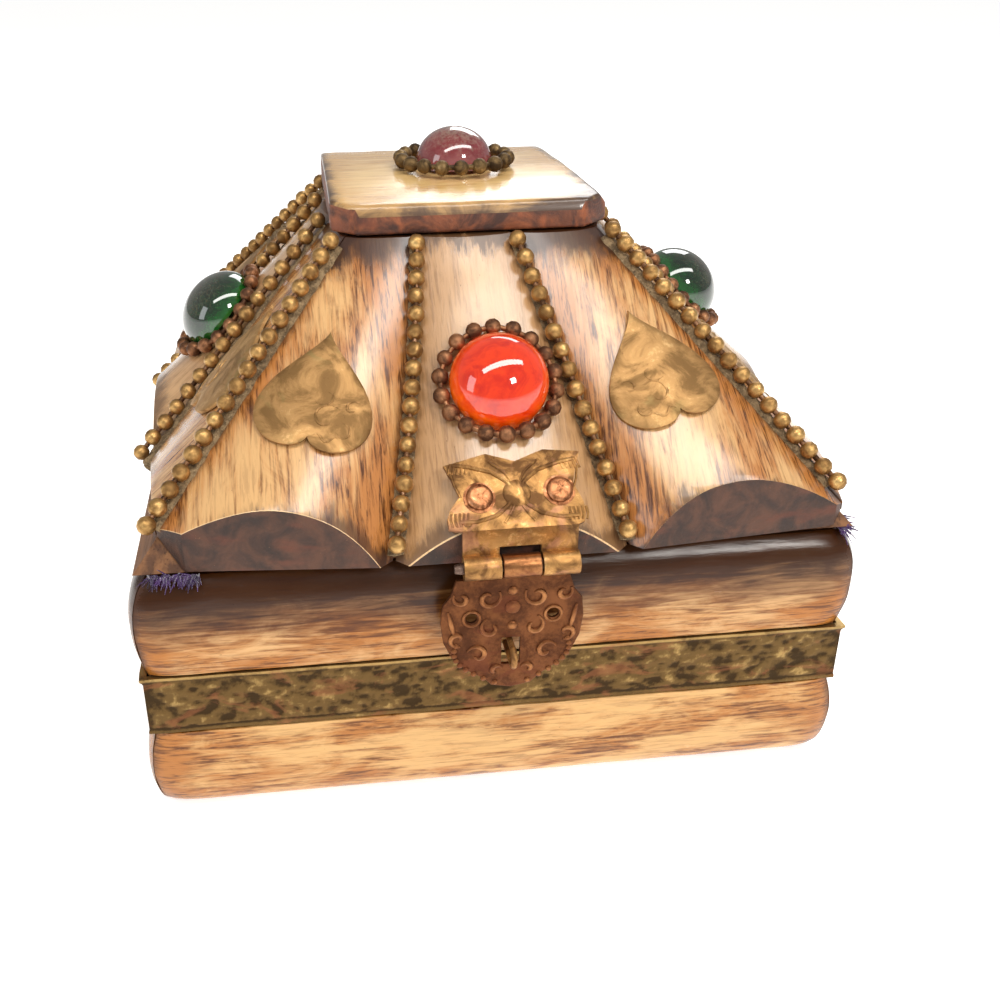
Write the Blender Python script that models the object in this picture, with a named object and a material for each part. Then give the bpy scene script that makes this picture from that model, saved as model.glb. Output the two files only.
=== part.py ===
"""Bone-veneered jewelry box: a square base, a hinged pyramid lid, brass trim and a front hasp.

Frame: X to the right, the front faces -Y, +Z up, origin at the centre of the underside. Metres.
"""

import math

import bmesh
import bpy
from mathutils import Matrix, Vector

MM = 0.001
GAP = 0.3 * MM  # between pieces that touch

# ---- base ----
CORE_HALF = 52.3 * MM
CORE_TOP = 42.3 * MM
CORE_WALL = 4.5 * MM
CORE_FLOOR = 4.5 * MM
BELT_HALF = 53.9 * MM
BAND_LOW, BAND_HIGH = 15.3 * MM, 25.5 * MM
BAND_HALF, BAND_THICK = 55.0 * MM, 0.8 * MM
BAND_LIP, BAND_LIP_PROUD = 0.7 * MM, 0.25 * MM
LINING_THICK = 1.0 * MM
MOULDING_MITRE = 0.2 * MM
MOULDING_EASE = 0.9 * MM  # how far a moulding's face falls back at its rounded ends
MOULDING_END = ((1, 0), (0.3, 1.6 * MM), (0, 5 * MM))  # share of that fall, at a distance from the end
# a moulding's face as (distance from the box's centre, height), low edge first
UPPER_FACE = [(55.0, 25.8), (55.7, 29.5), (56.0, 33.5), (55.8, 37.0), (55.0, 39.8), (54.0, 41.3), (53.3, 42.0)]
LOWER_FACE = [(53.4, 0.4), (54.9, 2.0), (55.7, 4.8), (56.0, 8.0), (55.8, 11.6), (55.0, 15.0)]

# ---- lid ----
RUN_PER_RISE = 0.905  # a face moves inwards this much for each unit it rises
PLANE_HALF, PLANE_Z = 51.5 * MM, 49.6 * MM  # where the faces' reference plane meets the hips
LID_LOW = 43.0 * MM
STRIP_TOP = 82.0 * MM
CORE_DEPTH = 2.5 * MM  # wood lies this far under the reference plane
LID_WALL_RUN = 6.4 * MM
LID_DECK_LOW = 76.0 * MM
JOINT_X_LOW, JOINT_X_HIGH = 17.8 * MM, 7.7 * MM  # the joints between strips, at the eave and at the top
JOINT_LEAN_LOW, JOINT_LEAN_HIGH = 0.95 * MM, -1.3 * MM  # the fitter's hand: both joints lean a little
JOINT_BOW = {-1: 0.9 * MM, 1: 0.2 * MM}
EDGE_RISE_LOW, EDGE_RISE_HIGH = -1.3 * MM, -0.4 * MM
HIP_EDGE_RISE = -1.3 * MM
BONE_RADIUS = {"left": 26.6 * MM, "centre": 26.6 * MM, "right": 24.5 * MM}  # a strip is a slice of a bone
SIDE_BONE_FLATTER = {"front": 1.0, "right": 1.9, "back": 1.3, "left": 2.8}  # times the radius, beside the centre
STRIP_CUTS = (-9 * MM, 6 * MM, 20 * MM, 38 * MM, 58 * MM)  # the places up the slope where a strip is measured
STRIP_SEAM, HIP_SEAM = 0.2 * MM, 1.35 * MM
END_Y = {"front": 57.4 * MM, "right": 56.2 * MM, "back": 57.0 * MM, "left": 54.2 * MM}  # strips end upright
END_LEAN = 0.1  # and the side strips' ends slant back, but for the back face's, which seat the hinge leaves
# |x| + |y| where the lid is cut off upright, at the corner to the left of each face
CORNER_REACH = {"front": 101 * MM, "right": 105 * MM, "back": 103 * MM, "left": 103 * MM}

PLATE_LEFT, PLATE_RIGHT, PLATE_HALF_DEPTH = -22.2 * MM, 22.6 * MM, 21.5 * MM
PLATE_SLANT = 0.04  # the right side runs inwards this much for each unit towards the back
PLATE_SLANT_FROM = -17.0 * MM
PLATE_RIGHT_FALL = 0.85  # the top of the right side leans in this much for each unit of height
PLATE_LOW, PLATE_EDGE, PLATE_CROWN = 82.3 * MM, 85.1 * MM, 88.4 * MM
PLATE_FRONT_SHOULDER, PLATE_BACK_SHOULDER = 86.8 * MM, 87.7 * MM
PLATE_BEVEL = 0.9 * MM
PLATE_CORNER_CUTS = {(-1, -1): 3.9 * MM, (1, -1): 4.6 * MM, (1, 1): 5.4 * MM, (-1, 1): 1.7 * MM}

# ---- trim ----
BALL_R, LINK_R = 1.15 * MM, 0.38 * MM
ROW_OUT = 1.0 * MM
ROW_BALLS, HIP_BALLS = {-1: 17, 1: 16}, 18
ROW_FIRST, ROW_LAST = 3.4 * MM, 51.1 * MM  # up the slope
HIP_FIRST, HIP_LAST = (51.6 * MM, 49.6 * MM), (22.4 * MM, 82.0 * MM)  # half width and height
RING_R, RING_BALLS = 8.85 * MM, 18
GEM_R, GEM_X, GEM_UP_SLOPE = 7.5 * MM, 1.0 * MM, 26.8 * MM
GEM_HEIGHT = {"front": 6.4 * MM, "right": 7.3 * MM, "back": 6.4 * MM, "left": 6.6 * MM}
GEM_SEAT = 2.2 * MM  # the seat is filed flat this far out from the reference plane
GEM_RIM = 0.5 * MM
TOP_GEM_R, TOP_GEM_HEIGHT, TOP_RING_R, TOP_RING_BALLS = 6.5 * MM, 6.3 * MM, 9.1 * MM, 18
HEART_W, HEART_H, HEART_THICK = 17.6 * MM, 19.7 * MM, 0.5 * MM
HEART_PLACES = {"left": (-25.9 * MM, 27.2 * MM, 15), "right": (25.3 * MM, 28.3 * MM, -17)}  # x, up, tilt

# ---- hasp and hinges ----
HASP_X, LEAF_X, STAPLE_X = 1.4 * MM, 0.35 * MM, 0.2 * MM
SHEET = 0.7 * MM
HASP_BEND = (-58.35 * MM, 49.1 * MM)  # y and z of the fold between the plate and its knuckles
HASP_PLATE_SLOPE = 43  # degrees
# the plate's outline in millimetres: x from HASP_X, and up the slope from the fold
HASP_OUTLINE = [(-8.4, -0.4), (-10.3, 0), (-10.4, 1.6), (-9.8, 3.0), (-8.2, 5.0), (-10.2, 9.7), (-3.9, 11.2)]
HASP_OUTLINE += [(0.2, 9.8), (4.5, 11.4), (9.9, 10.8), (8.9, 7.9), (8.4, 6.0), (9.5, 3.0), (9.7, 1.4)]
HASP_OUTLINE += [(9.3, 0), (8.4, -0.4)]
HASP_NOTCH = 0.9 * MM  # clear height over the centre barrel
HASP_PIN_Y, HASP_PIN_Z = -59.9 * MM, 43.7 * MM
HASP_PIN_R, HASP_BARREL_R, HASP_PIN_CLEAR = 0.85 * MM, 1.8 * MM, 0.15 * MM
HASP_HALF_W, BARREL_HALF_W = 8.4 * MM, 2.75 * MM
STAPLE_Z, STAPLE_LOOP_R, STAPLE_WIRE_R = 28.9 * MM, 1.35 * MM, 0.5 * MM
STAPLE_REACH = 63.2 * MM
LEAF_LOW, LEAF_HALF_W = 22.3 * MM, 10.7 * MM
LEAF_SET_BACK = 0.9 * MM  # from the pin's centre to the leaf's back
LEAF_SLOT_HALF_W, LEAF_SLOT_HALF_H = 1.4 * MM, 2.35 * MM
LEAF_HOLE_X, LEAF_HOLE_Z, LEAF_HOLE_R = 6.1 * MM, 35.0 * MM, 0.9 * MM
HINGE_X, HINGE_HALF_W = 30.0 * MM, 8.0 * MM
HINGE_AXIS_Y, HINGE_AXIS_Z = 59.2 * MM, 42.7 * MM
HINGE_BARREL_R, HINGE_PIN_R, HINGE_PIN_CLEAR = 1.5 * MM, 0.7 * MM, 0.15 * MM
HINGE_SHEET, HINGE_BASE_Y = 0.6 * MM, 56.35 * MM
HINGE_LEAF_LOW, HINGE_LEAF_HIGH = 32.5 * MM, 49.6 * MM
HINGE_NECK_OFF, HINGE_NECK = 0.95 * MM, 1.6 * MM  # the necks start this far off the axis, and are this deep

# colour, roughness, metallic
FINISHES = {
    "wood": ((0.20, 0.11, 0.06), 0.7, 0.0),
    "velvet": ((0.14, 0.06, 0.24), 0.95, 0.0),
    "bone": ((0.72, 0.52, 0.30), 0.3, 0.0),
    "aged_brass": ((0.52, 0.36, 0.15), 0.38, 1.0),
    "patinated_brass": ((0.34, 0.25, 0.12), 0.5, 1.0),
    "copper_brass": ((0.40, 0.24, 0.14), 0.5, 0.9),
    "rusty_steel": ((0.30, 0.22, 0.20), 0.6, 0.8),
    "orange_glass": ((0.90, 0.13, 0.01), 0.08, 0.0),
    "green_glass": ((0.02, 0.16, 0.04), 0.08, 0.0),
    "red_glass": ((0.32, 0.03, 0.06), 0.12, 0.0),
}
FACES = {"front": 0, "right": 90, "back": 180, "left": 270}

UP_SLOPE = Vector((0, RUN_PER_RISE, 1)).normalized()
OUTWARD = Vector((0, -1, RUN_PER_RISE)).normalized()
EAVE = Vector((0, -(PLANE_HALF + (PLANE_Z - LID_LOW) * RUN_PER_RISE), LID_LOW))
SLOPE_LENGTH = (STRIP_TOP - LID_LOW) / UP_SLOPE.z


def clear_scene():
    for obj in list(bpy.data.objects):
        bpy.data.objects.remove(obj, do_unlink=True)


def finish_of(name):
    made = bpy.data.materials.get(name)
    if made is None:
        colour, roughness, metallic = FINISHES[name]
        made = bpy.data.materials.new(name)
        made.use_nodes = True
        shader = made.node_tree.nodes["Principled BSDF"]
        shader.inputs["Base Color"].default_value = (*colour, 1)
        shader.inputs["Roughness"].default_value = roughness
        shader.inputs["Metallic"].default_value = metallic
        made.diffuse_color = (*colour, 1)
    return made


def put(name, data, finish, parent=None):
    obj = bpy.data.objects.new(name, data)
    bpy.context.scene.collection.objects.link(obj)
    data.materials.append(finish_of(finish))
    if parent:
        obj.parent = parent
        obj.matrix_parent_inverse = Matrix.Translation(-parent.location)
    return obj


def object_of(name, bm, finish, parent=None, smooth=True):
    bmesh.ops.recalc_face_normals(bm, faces=bm.faces)
    mesh = bpy.data.meshes.new(name)
    bm.to_mesh(mesh)
    bm.free()
    if smooth:
        mesh.shade_smooth()
        mesh.set_sharp_from_angle(angle=math.radians(35))
    return put(name, mesh, finish, parent)


def turned_to(face):
    """The rotation from the front face to another face of the box."""
    return Matrix.Rotation(math.radians(FACES[face]), 4, "Z")


def on_face(x, up, out):
    """A point of the front lid face: x across, up the slope from the eave, out from the reference plane."""
    return EAVE + Vector((x, 0, 0)) + UP_SLOPE * up + OUTWARD * out


def between(low, high, up):
    return low + (high - low) * up / SLOPE_LENGTH


def loft(rings, closed=False):
    """A bmesh skin through rings of points, capped at both ends unless the rings close on themselves."""
    bm = bmesh.new()
    loops = [[bm.verts.new(point) for point in ring] for ring in rings]
    count = len(loops[0])
    pairs = list(zip(loops, loops[1:]))
    if closed:
        pairs.append((loops[-1], loops[0]))
    for one, two in pairs:
        for i in range(count):
            j = (i + 1) % count
            bm.faces.new((one[i], one[j], two[j], two[i]))
    if not closed:
        bm.faces.new(loops[0])
        bm.faces.new(loops[-1])
    return bm


def square_turning(profile, closed=False):
    """Square rings of (half width, height), joined like a lathe turning with four sides."""
    signs = ((-1, -1), (1, -1), (1, 1), (-1, 1))
    return loft([[(sx * half, sy * half, z) for sx, sy in signs] for half, z in profile], closed)


def cut(bm, point, normal):
    """Removes what lies on the normal's side of a plane and closes the cut."""
    geometry = bm.verts[:] + bm.edges[:] + bm.faces[:]
    made = bmesh.ops.bisect_plane(
        bm, geom=geometry, plane_co=point, plane_no=normal, clear_outer=True, dist=1e-7
    )
    edges = [item for item in made["geom_cut"] if isinstance(item, bmesh.types.BMEdge)]
    bmesh.ops.edgeloop_fill(bm, edges=edges)


def cutter(name, bm):
    tool = object_of(name, bm, "wood", smooth=False)
    tool.hide_render = True
    tool.display_type = "WIRE"
    return tool


def combine(target, other, operation):
    modifier = target.modifiers.new(other.name, "BOOLEAN")
    modifier.operation = operation
    modifier.object = other


def rod(start, end, radius, sides=12):
    bm = bmesh.new()
    axis = Vector(end) - Vector(start)
    matrix = Matrix.Translation((Vector(start) + Vector(end)) / 2)
    matrix = matrix @ axis.to_track_quat("Z", "Y").to_matrix().to_4x4()
    bmesh.ops.create_cone(
        bm, cap_ends=True, segments=sides, radius1=radius, radius2=radius, depth=axis.length, matrix=matrix
    )
    return bm


def block(low, high):
    bm = bmesh.new()
    size = Vector(high) - Vector(low)
    matrix = Matrix.Translation((Vector(low) + Vector(high)) / 2) @ Matrix.Diagonal((*size, 1))
    bmesh.ops.create_cube(bm, size=1, matrix=matrix)
    return bm


def extruded(outline, along):
    """A prism: the outline's points, moved along a vector."""
    return loft([outline, [Vector(point) + Vector(along) for point in outline]])


def beaded(name, points, radii, finish, parent, cyclic=False):
    """A chain of balls and links as one tube whose radius swells at each ball."""
    curve = bpy.data.curves.new(name, "CURVE")
    curve.dimensions = "3D"
    curve.bevel_depth = BALL_R
    curve.bevel_resolution = 1
    curve.use_fill_caps = not cyclic
    spline = curve.splines.new("POLY")
    spline.points.add(len(points) - 1)
    for slot, point, radius in zip(spline.points, points, radii):
        slot.co = (*point, 1)
        slot.radius = radius / BALL_R
    spline.use_cyclic_u = cyclic
    return put(name, curve, finish, parent)


# ---------------------------------------------------------------- base


def base_box():
    profile = [
        (CORE_HALF, 0),
        (CORE_HALF, BAND_LOW + GAP),
        (BELT_HALF, BAND_LOW + GAP),
        (BELT_HALF, BAND_HIGH - GAP),
        (CORE_HALF, BAND_HIGH - GAP),
        (CORE_HALF, CORE_TOP),
        (CORE_HALF - CORE_WALL, CORE_TOP),
        (CORE_HALF - CORE_WALL, CORE_FLOOR),
    ]
    object_of("base_box", square_turning(profile), "wood", smooth=False)


def base_lining():
    outer = CORE_HALF - CORE_WALL - GAP
    low = CORE_FLOOR + GAP
    top = CORE_TOP - GAP
    inner = outer - LINING_THICK
    profile = [(outer, low), (outer, top), (inner, top), (inner, low + LINING_THICK)]
    object_of("base_lining", square_turning(profile), "velvet", smooth=False)


def moulding(face, name, outline):
    """A bone moulding with mitred ends whose face falls back a little at the corners."""
    inner = CORE_HALF + GAP
    outer = [(reach * MM, z * MM) for reach, z in outline]
    section = [*outer, (inner, outer[-1][1]), (inner, outer[0][1])]
    ends = [(-1, ease, back) for ease, back in MOULDING_END]
    ends += [(1, ease, back) for ease, back in reversed(MOULDING_END)]
    rings = []
    for side, ease, back in ends:
        ring = []
        for reach, z in section:
            depth = reach - ease * MOULDING_EASE if reach > inner else reach
            ring.append((side * (depth - MOULDING_MITRE - back), -depth, z))
        rings.append(ring)
    bm = loft(rings)
    bmesh.ops.transform(bm, matrix=turned_to(face), verts=bm.verts)
    return object_of(f"{face}_{name}_moulding", bm, "bone")


def brass_band():
    inner, lip = BAND_HALF - BAND_THICK, BAND_HALF + BAND_LIP_PROUD
    profile = [(BAND_HALF, BAND_LOW), (BAND_HALF, BAND_HIGH - 2 * BAND_LIP)]
    profile += [(lip, BAND_HIGH - BAND_LIP), (lip, BAND_HIGH)]
    profile += [(inner, BAND_HIGH), (inner, BAND_LOW)]
    object_of("brass_band", square_turning(profile, closed=True), "patinated_brass", smooth=False)


def staple():
    """A wire loop through two holes in the front upper moulding."""
    front = bpy.data.objects["front_upper_moulding"]
    for side in (-1, 1):
        z = STAPLE_Z + side * STAPLE_LOOP_R
        hole = rod((STAPLE_X, -STAPLE_REACH, z), (STAPLE_X, -CORE_HALF, z), STAPLE_WIRE_R + GAP, 10)
        combine(front, cutter(f"staple_hole_{'low' if side < 0 else 'high'}", hole), "DIFFERENCE")
    root_y = -(CORE_HALF + 2 * GAP)
    bend_y = -(STAPLE_REACH - STAPLE_WIRE_R - STAPLE_LOOP_R)
    points = [(STAPLE_X, root_y, STAPLE_Z - STAPLE_LOOP_R)]
    for step in range(7):
        turn = math.radians(-90 + 30 * step)
        y = bend_y - STAPLE_LOOP_R * math.cos(turn)
        points.append((STAPLE_X, y, STAPLE_Z + STAPLE_LOOP_R * math.sin(turn)))
    points.append((STAPLE_X, root_y, STAPLE_Z + STAPLE_LOOP_R))
    curve = bpy.data.curves.new("hasp_staple", "CURVE")
    curve.dimensions = "3D"
    curve.bevel_depth = STAPLE_WIRE_R
    curve.bevel_resolution = 2
    curve.use_fill_caps = True
    spline = curve.splines.new("POLY")
    spline.points.add(len(points) - 1)
    for slot, point in zip(spline.points, points):
        slot.co = (*point, 1)
    put("hasp_staple", curve, "aged_brass")


# ---------------------------------------------------------------- lid


def lid_half(z, depth=0.0):
    """Half width at a height of the reference plane, or of a plane that deep under it."""
    return PLANE_HALF + (PLANE_Z - z) * RUN_PER_RISE - depth / -OUTWARD.y


def lid_box(lid):
    low, top = LID_LOW, STRIP_TOP
    inner_low = lid_half(low, CORE_DEPTH) - LID_WALL_RUN
    inner_high = lid_half(LID_DECK_LOW, CORE_DEPTH) - LID_WALL_RUN
    profile = [(inner_high, LID_DECK_LOW), (inner_low, low), (lid_half(low, CORE_DEPTH), low)]
    profile += [(lid_half(top, CORE_DEPTH), top)]
    object_of("lid_box", square_turning(profile), "wood", lid, smooth=False)


def lid_lining(lid):
    low = LID_LOW + GAP
    top = LID_DECK_LOW - GAP
    clear = LID_WALL_RUN + GAP * 1.4
    cloth = LINING_THICK * 1.4
    outer_low, outer_top = lid_half(low, CORE_DEPTH) - clear, lid_half(top, CORE_DEPTH) - clear
    inner_top = lid_half(top - LINING_THICK, CORE_DEPTH) - clear - cloth
    profile = [(inner_top, top - LINING_THICK), (outer_low - cloth, low), (outer_low, low), (outer_top, top)]
    object_of("lid_lining", square_turning(profile), "velvet", lid, smooth=False)


def joint_x(side, up):
    """Where the joint between the centre strip and a side strip runs, and the chain on it."""
    lean = between(JOINT_LEAN_LOW, JOINT_LEAN_HIGH, up)
    t = min(max(up / SLOPE_LENGTH, 0), 1)
    return side * between(JOINT_X_LOW, JOINT_X_HIGH, up) + lean + JOINT_BOW[side] * 4 * t * (1 - t)


def hip_x(up):
    """Where the hip's edge runs, seen across the face."""
    return lid_half((EAVE + UP_SLOPE * up).z)


def strip_edges(kind, up):
    """(x, out) of a strip's two edges at a place up the slope, left edge first."""
    joint_rise = between(EDGE_RISE_LOW, EDGE_RISE_HIGH, up)
    if kind == "centre":
        return (joint_x(-1, up) + STRIP_SEAM, joint_rise), (joint_x(1, up) - STRIP_SEAM, joint_rise)
    side = -1 if kind == "left" else 1
    near = (joint_x(side, up) + side * STRIP_SEAM, joint_rise)
    far = (side * (hip_x(up) - HIP_SEAM), HIP_EDGE_RISE)
    return (far, near) if side < 0 else (near, far)


def strip_rise(face, kind, x, up):
    """How far out a strip's convex surface lies at x."""
    (x0, out0), (x1, out1) = strip_edges(kind, up)
    width = x1 - x0
    t = min(max((x - x0) / width, 0), 1)
    bone = BONE_RADIUS[kind]
    if kind != "centre":
        bone *= SIDE_BONE_FLATTER[face]
    sagitta = bone - math.sqrt(bone**2 - width**2 / 4)
    return out0 + (out1 - out0) * t + sagitta * 4 * t * (1 - t)


def strip_section(face, kind, up, steps):
    (x0, _), (x1, _) = strip_edges(kind, up)
    floor = -CORE_DEPTH + GAP
    ring = []
    for i in range(steps + 1):
        x = x0 + (x1 - x0) * i / steps
        ring.append(on_face(x, up, strip_rise(face, kind, x, up)))
    for x in (x1, x0):
        ring.append(on_face(x, up, floor))
    return ring


def bone_strip(face, kind, lid):
    bm = loft([strip_section(face, kind, up, 8) for up in STRIP_CUTS])
    side = {"left": -1, "centre": 0, "right": 1}[kind]
    lean = 0 if face == "back" else END_LEAN
    cut(bm, (side * JOINT_X_LOW, -END_Y[face], 0), (side * lean, -1, 0))
    cut(bm, (0, 0, LID_LOW + GAP), (0, 0, -1))
    cut(bm, (0, 0, STRIP_TOP), (0, 0, 1))
    if side:
        diagonal = Vector((side, 1, 0)).normalized()
        cut(bm, diagonal * GAP * -0.5, diagonal)
        corner = face if side < 0 else list(FACES)[(list(FACES).index(face) + 1) % 4]
        cut(bm, (0, -CORNER_REACH[corner], 0), (side, -1, 0))
    bmesh.ops.transform(bm, matrix=turned_to(face), verts=bm.verts)
    return object_of(f"{face}_{kind}_strip", bm, "bone", lid)


def top_plate(lid):
    """A crowned slab that rises a little to the back, with bevelled long edges and its corners cut off."""
    arch = []
    steps = 8
    reach = PLATE_HALF_DEPTH - PLATE_BEVEL
    dome = PLATE_CROWN - (PLATE_FRONT_SHOULDER + PLATE_BACK_SHOULDER) / 2
    for i in range(steps + 1):
        t = i / steps
        chord = PLATE_FRONT_SHOULDER + (PLATE_BACK_SHOULDER - PLATE_FRONT_SHOULDER) * t
        arch.append(((2 * t - 1) * reach, chord + dome * 4 * t * (1 - t)))
    outline = [(-PLATE_HALF_DEPTH, PLATE_LOW), (-PLATE_HALF_DEPTH, PLATE_EDGE), *arch]
    outline += [(PLATE_HALF_DEPTH, PLATE_EDGE), (PLATE_HALF_DEPTH, PLATE_LOW)]
    section = [(PLATE_LEFT, y, z) for y, z in outline]
    bm = extruded(section, (PLATE_RIGHT - PLATE_LEFT, 0, 0))
    cut(bm, (PLATE_RIGHT, PLATE_SLANT_FROM, 0), (1, PLATE_SLANT, 0))
    cut(bm, (PLATE_RIGHT, PLATE_SLANT_FROM, PLATE_EDGE), (1, PLATE_SLANT, PLATE_RIGHT_FALL))
    for (sx, sy), size in PLATE_CORNER_CUTS.items():
        corner = Vector((PLATE_RIGHT if sx > 0 else PLATE_LEFT, sy * PLATE_HALF_DEPTH, 0))
        outward = Vector((sx, sy, 0)).normalized()
        cut(bm, corner - outward * size / math.sqrt(2), outward)
    object_of("top_plate", bm, "bone", lid)


# ---------------------------------------------------------------- trim


def heart_outline(steps=22):
    """The right half and the left half of a heart of unit width and height, its point at the top."""
    points = []
    for i in range(steps):
        t = 2 * math.pi * i / steps
        x = 16 * math.sin(t) ** 3
        y = 12.6 * math.cos(t) - 3.2 * math.cos(2 * t) - 1.2 * math.cos(3 * t) - 0.4 * math.cos(4 * t)
        points.append((x / 32, -(y + 2.35) / 25.3))
    return points


def heart(face, kind, lid):
    """A thin brass heart bent to the strip under it, its point up the slope."""
    centre_x, centre_up, tilt = HEART_PLACES[kind]
    turn = Matrix.Rotation(math.radians(-tilt), 2)
    bm = bmesh.new()
    bm.faces.new([bm.verts.new((x * HEART_W, y * HEART_H, 0)) for x, y in heart_outline()])
    for part in range(-3, 4):
        geometry = bm.verts[:] + bm.edges[:] + bm.faces[:]
        place = (part * HEART_W / 7.5, 0, 0)
        bmesh.ops.bisect_plane(bm, geom=geometry, plane_co=place, plane_no=(1, 0, 0), dist=1e-7)
    for vert in bm.verts:
        across, up = turn @ vert.co.xy + Vector((centre_x, centre_up))
        vert.co = on_face(across, up, strip_rise(face, kind, across, up) + GAP)
    lower = bm.faces[:]
    upper = bmesh.ops.duplicate(bm, geom=lower)["geom"]
    for item in upper:
        if isinstance(item, bmesh.types.BMVert):
            item.co += OUTWARD * HEART_THICK
    rims = [edge for edge in bm.edges if edge.is_boundary]
    bmesh.ops.bridge_loops(bm, edges=rims)
    bmesh.ops.transform(bm, matrix=turned_to(face), verts=bm.verts)
    return object_of(f"{face}_{kind}_heart", bm, "aged_brass", lid)


def beads_along(path, balls, first, last):
    """Points and radii of a run of balls: a thin place and a full place for each ball."""
    points, radii = [], []
    pitch = (last - first) / (balls - 1)
    for half_step in range(2 * balls + 1):
        points.append(path(first + (half_step - 1) / 2 * pitch))
        radii.append(BALL_R if half_step % 2 else LINK_R)
    return points, radii


def joint_chain(face, lid):
    """The two chains in a face's joints, one length joined by a thin tail under the top plate's edge."""
    spin = turned_to(face)

    def row(side):
        def path(up):
            return on_face(joint_x(side, up), up, ROW_OUT)

        return beads_along(path, ROW_BALLS[side], ROW_FIRST, ROW_LAST)

    left, left_radii = row(-1)
    right, right_radii = row(1)
    points = [spin @ point for point in left + right[::-1]]
    beaded(f"{face}_joint_chain", points, left_radii + right_radii[::-1], "aged_brass", lid)


def hip_chain(face, lid):
    """The chain down the hip to the left of a face."""
    low, high = (Vector((-half, -half, z)) for half, z in (HIP_FIRST, HIP_LAST))
    points, radii = beads_along(lambda t: low.lerp(high, t), HIP_BALLS, 0, 1)
    spin = turned_to(face)
    beaded(f"{face}_left_hip_chain", [spin @ point for point in points], radii, "aged_brass", lid)


def ring_of_beads(name, place, radius, balls, lid):
    """A closed ring of balls. place(angle, radius) gives a point of it."""
    points, radii = [], []
    for i in range(2 * balls):
        points.append(place(math.pi * i / balls, radius))
        radii.append(LINK_R if i % 2 else BALL_R)
    beaded(name, points, radii, "copper_brass", lid, cyclic=True)


def dome(name, radius, height, frame, finish, lid):
    """A glass cabochon, turned about its own axis and stood on the frame's origin."""
    bm = bmesh.new()
    profile = [(radius, 0), (radius, GEM_RIM)]
    rounds = 5
    for i in range(1, rounds):
        angle = math.pi / 2 * i / rounds
        profile.append((radius * math.cos(angle), GEM_RIM + (height - GEM_RIM) * math.sin(angle)))
    sides = 16
    rings = []
    for r, z in profile:
        turn = [2 * math.pi * j / sides for j in range(sides)]
        rings.append([frame @ Vector((r * math.cos(a), r * math.sin(a), z)) for a in turn])
    bm = loft(rings)
    bm.faces.ensure_lookup_table()
    bmesh.ops.poke(bm, faces=[bm.faces[-1]])
    bm.verts.ensure_lookup_table()
    bm.verts[-1].co = frame @ Vector((0, 0, height))
    return object_of(name, bm, finish, lid)


def face_gem(face, finish, lid):
    """The cabochon on a face's centre strip and the ring of balls round it."""
    seat, clear = on_face(GEM_X, GEM_UP_SLOPE, GEM_SEAT), OUTWARD * GEM_R
    spin = turned_to(face)
    axes = Matrix((Vector((1, 0, 0)), UP_SLOPE, OUTWARD)).transposed().to_4x4()
    frame = spin @ Matrix.Translation(seat + OUTWARD * GAP) @ axes
    dome(f"{face}_gem", GEM_R, GEM_HEIGHT[face], frame, finish, lid)
    filing = rod(spin @ seat, spin @ (seat + clear), GEM_R + GAP, 24)
    strip = bpy.data.objects[f"{face}_centre_strip"]
    combine(strip, cutter(f"{face}_gem_seat", filing), "DIFFERENCE")

    def place(angle, radius):
        x = GEM_X + radius * math.sin(angle)
        up = GEM_UP_SLOPE + radius * math.cos(angle)
        return spin @ on_face(x, up, strip_rise(face, "centre", x, up) + BALL_R + GAP)

    ring_of_beads(f"{face}_gem_ring", place, RING_R, RING_BALLS, lid)


def top_gem(lid):
    frame = Matrix.Translation((0, 0, PLATE_CROWN + GAP))
    dome("top_gem", TOP_GEM_R, TOP_GEM_HEIGHT, frame, "red_glass", lid)

    def place(angle, radius):
        return Vector((radius * math.sin(angle), radius * math.cos(angle), PLATE_CROWN + BALL_R + GAP))

    ring_of_beads("top_gem_ring", place, TOP_RING_R, TOP_RING_BALLS, lid)


# ---------------------------------------------------------------- hasp


def barrel(x_low, x_high, y, z, outer, bore):
    """A knuckle: a short tube along X, as a closed ring of four circles."""
    sides = 14
    circles = []
    for x, r in ((x_low, outer), (x_high, outer), (x_high, bore), (x_low, bore)):
        turn = [2 * math.pi * i / sides for i in range(sides)]
        circles.append([(x, y + r * math.cos(a), z + r * math.sin(a)) for a in turn])
    return loft(circles, closed=True)


def hasp_plate(lid):
    """The upper leaf: a stamped plate on the centre strip's crown, bent down to two knuckles."""
    left, right = HASP_X - HASP_HALF_W, HASP_X + HASP_HALF_W
    gap_left, gap_right = HASP_X - BARREL_HALF_W - GAP, HASP_X + BARREL_HALF_W + GAP
    bend = Vector((0, *HASP_BEND))
    angle = math.radians(HASP_PLATE_SLOPE)
    slope = Vector((0, math.cos(angle), math.sin(angle)))
    out = Vector((0, -slope.z, slope.y))
    points = [bend + Vector((x * MM + HASP_X, 0, 0)) + slope * up * MM for x, up in HASP_OUTLINE]
    body = object_of("hasp_plate", extruded(points, out * SHEET), "aged_brass", lid, False)
    front = bend.y - SHEET
    notch_top = HASP_PIN_Z + HASP_BARREL_R + HASP_NOTCH
    leg_low, leg_high = HASP_PIN_Z + GAP, notch_top + GAP
    bore = HASP_PIN_R + HASP_PIN_CLEAR
    pieces = {
        "bridge": block((left, front, notch_top), (right, bend.y, bend.z + GAP)),
        "left_leg": block((left, front, leg_low), (gap_left, bend.y, leg_high)),
        "right_leg": block((gap_right, front, leg_low), (right, bend.y, leg_high)),
        "left_knuckle": barrel(left, gap_left, HASP_PIN_Y, HASP_PIN_Z, HASP_BARREL_R, bore),
        "right_knuckle": barrel(gap_right, right, HASP_PIN_Y, HASP_PIN_Z, HASP_BARREL_R, bore),
    }
    for name, bm in pieces.items():
        combine(body, cutter(f"hasp_{name}", bm), "UNION")


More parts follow.
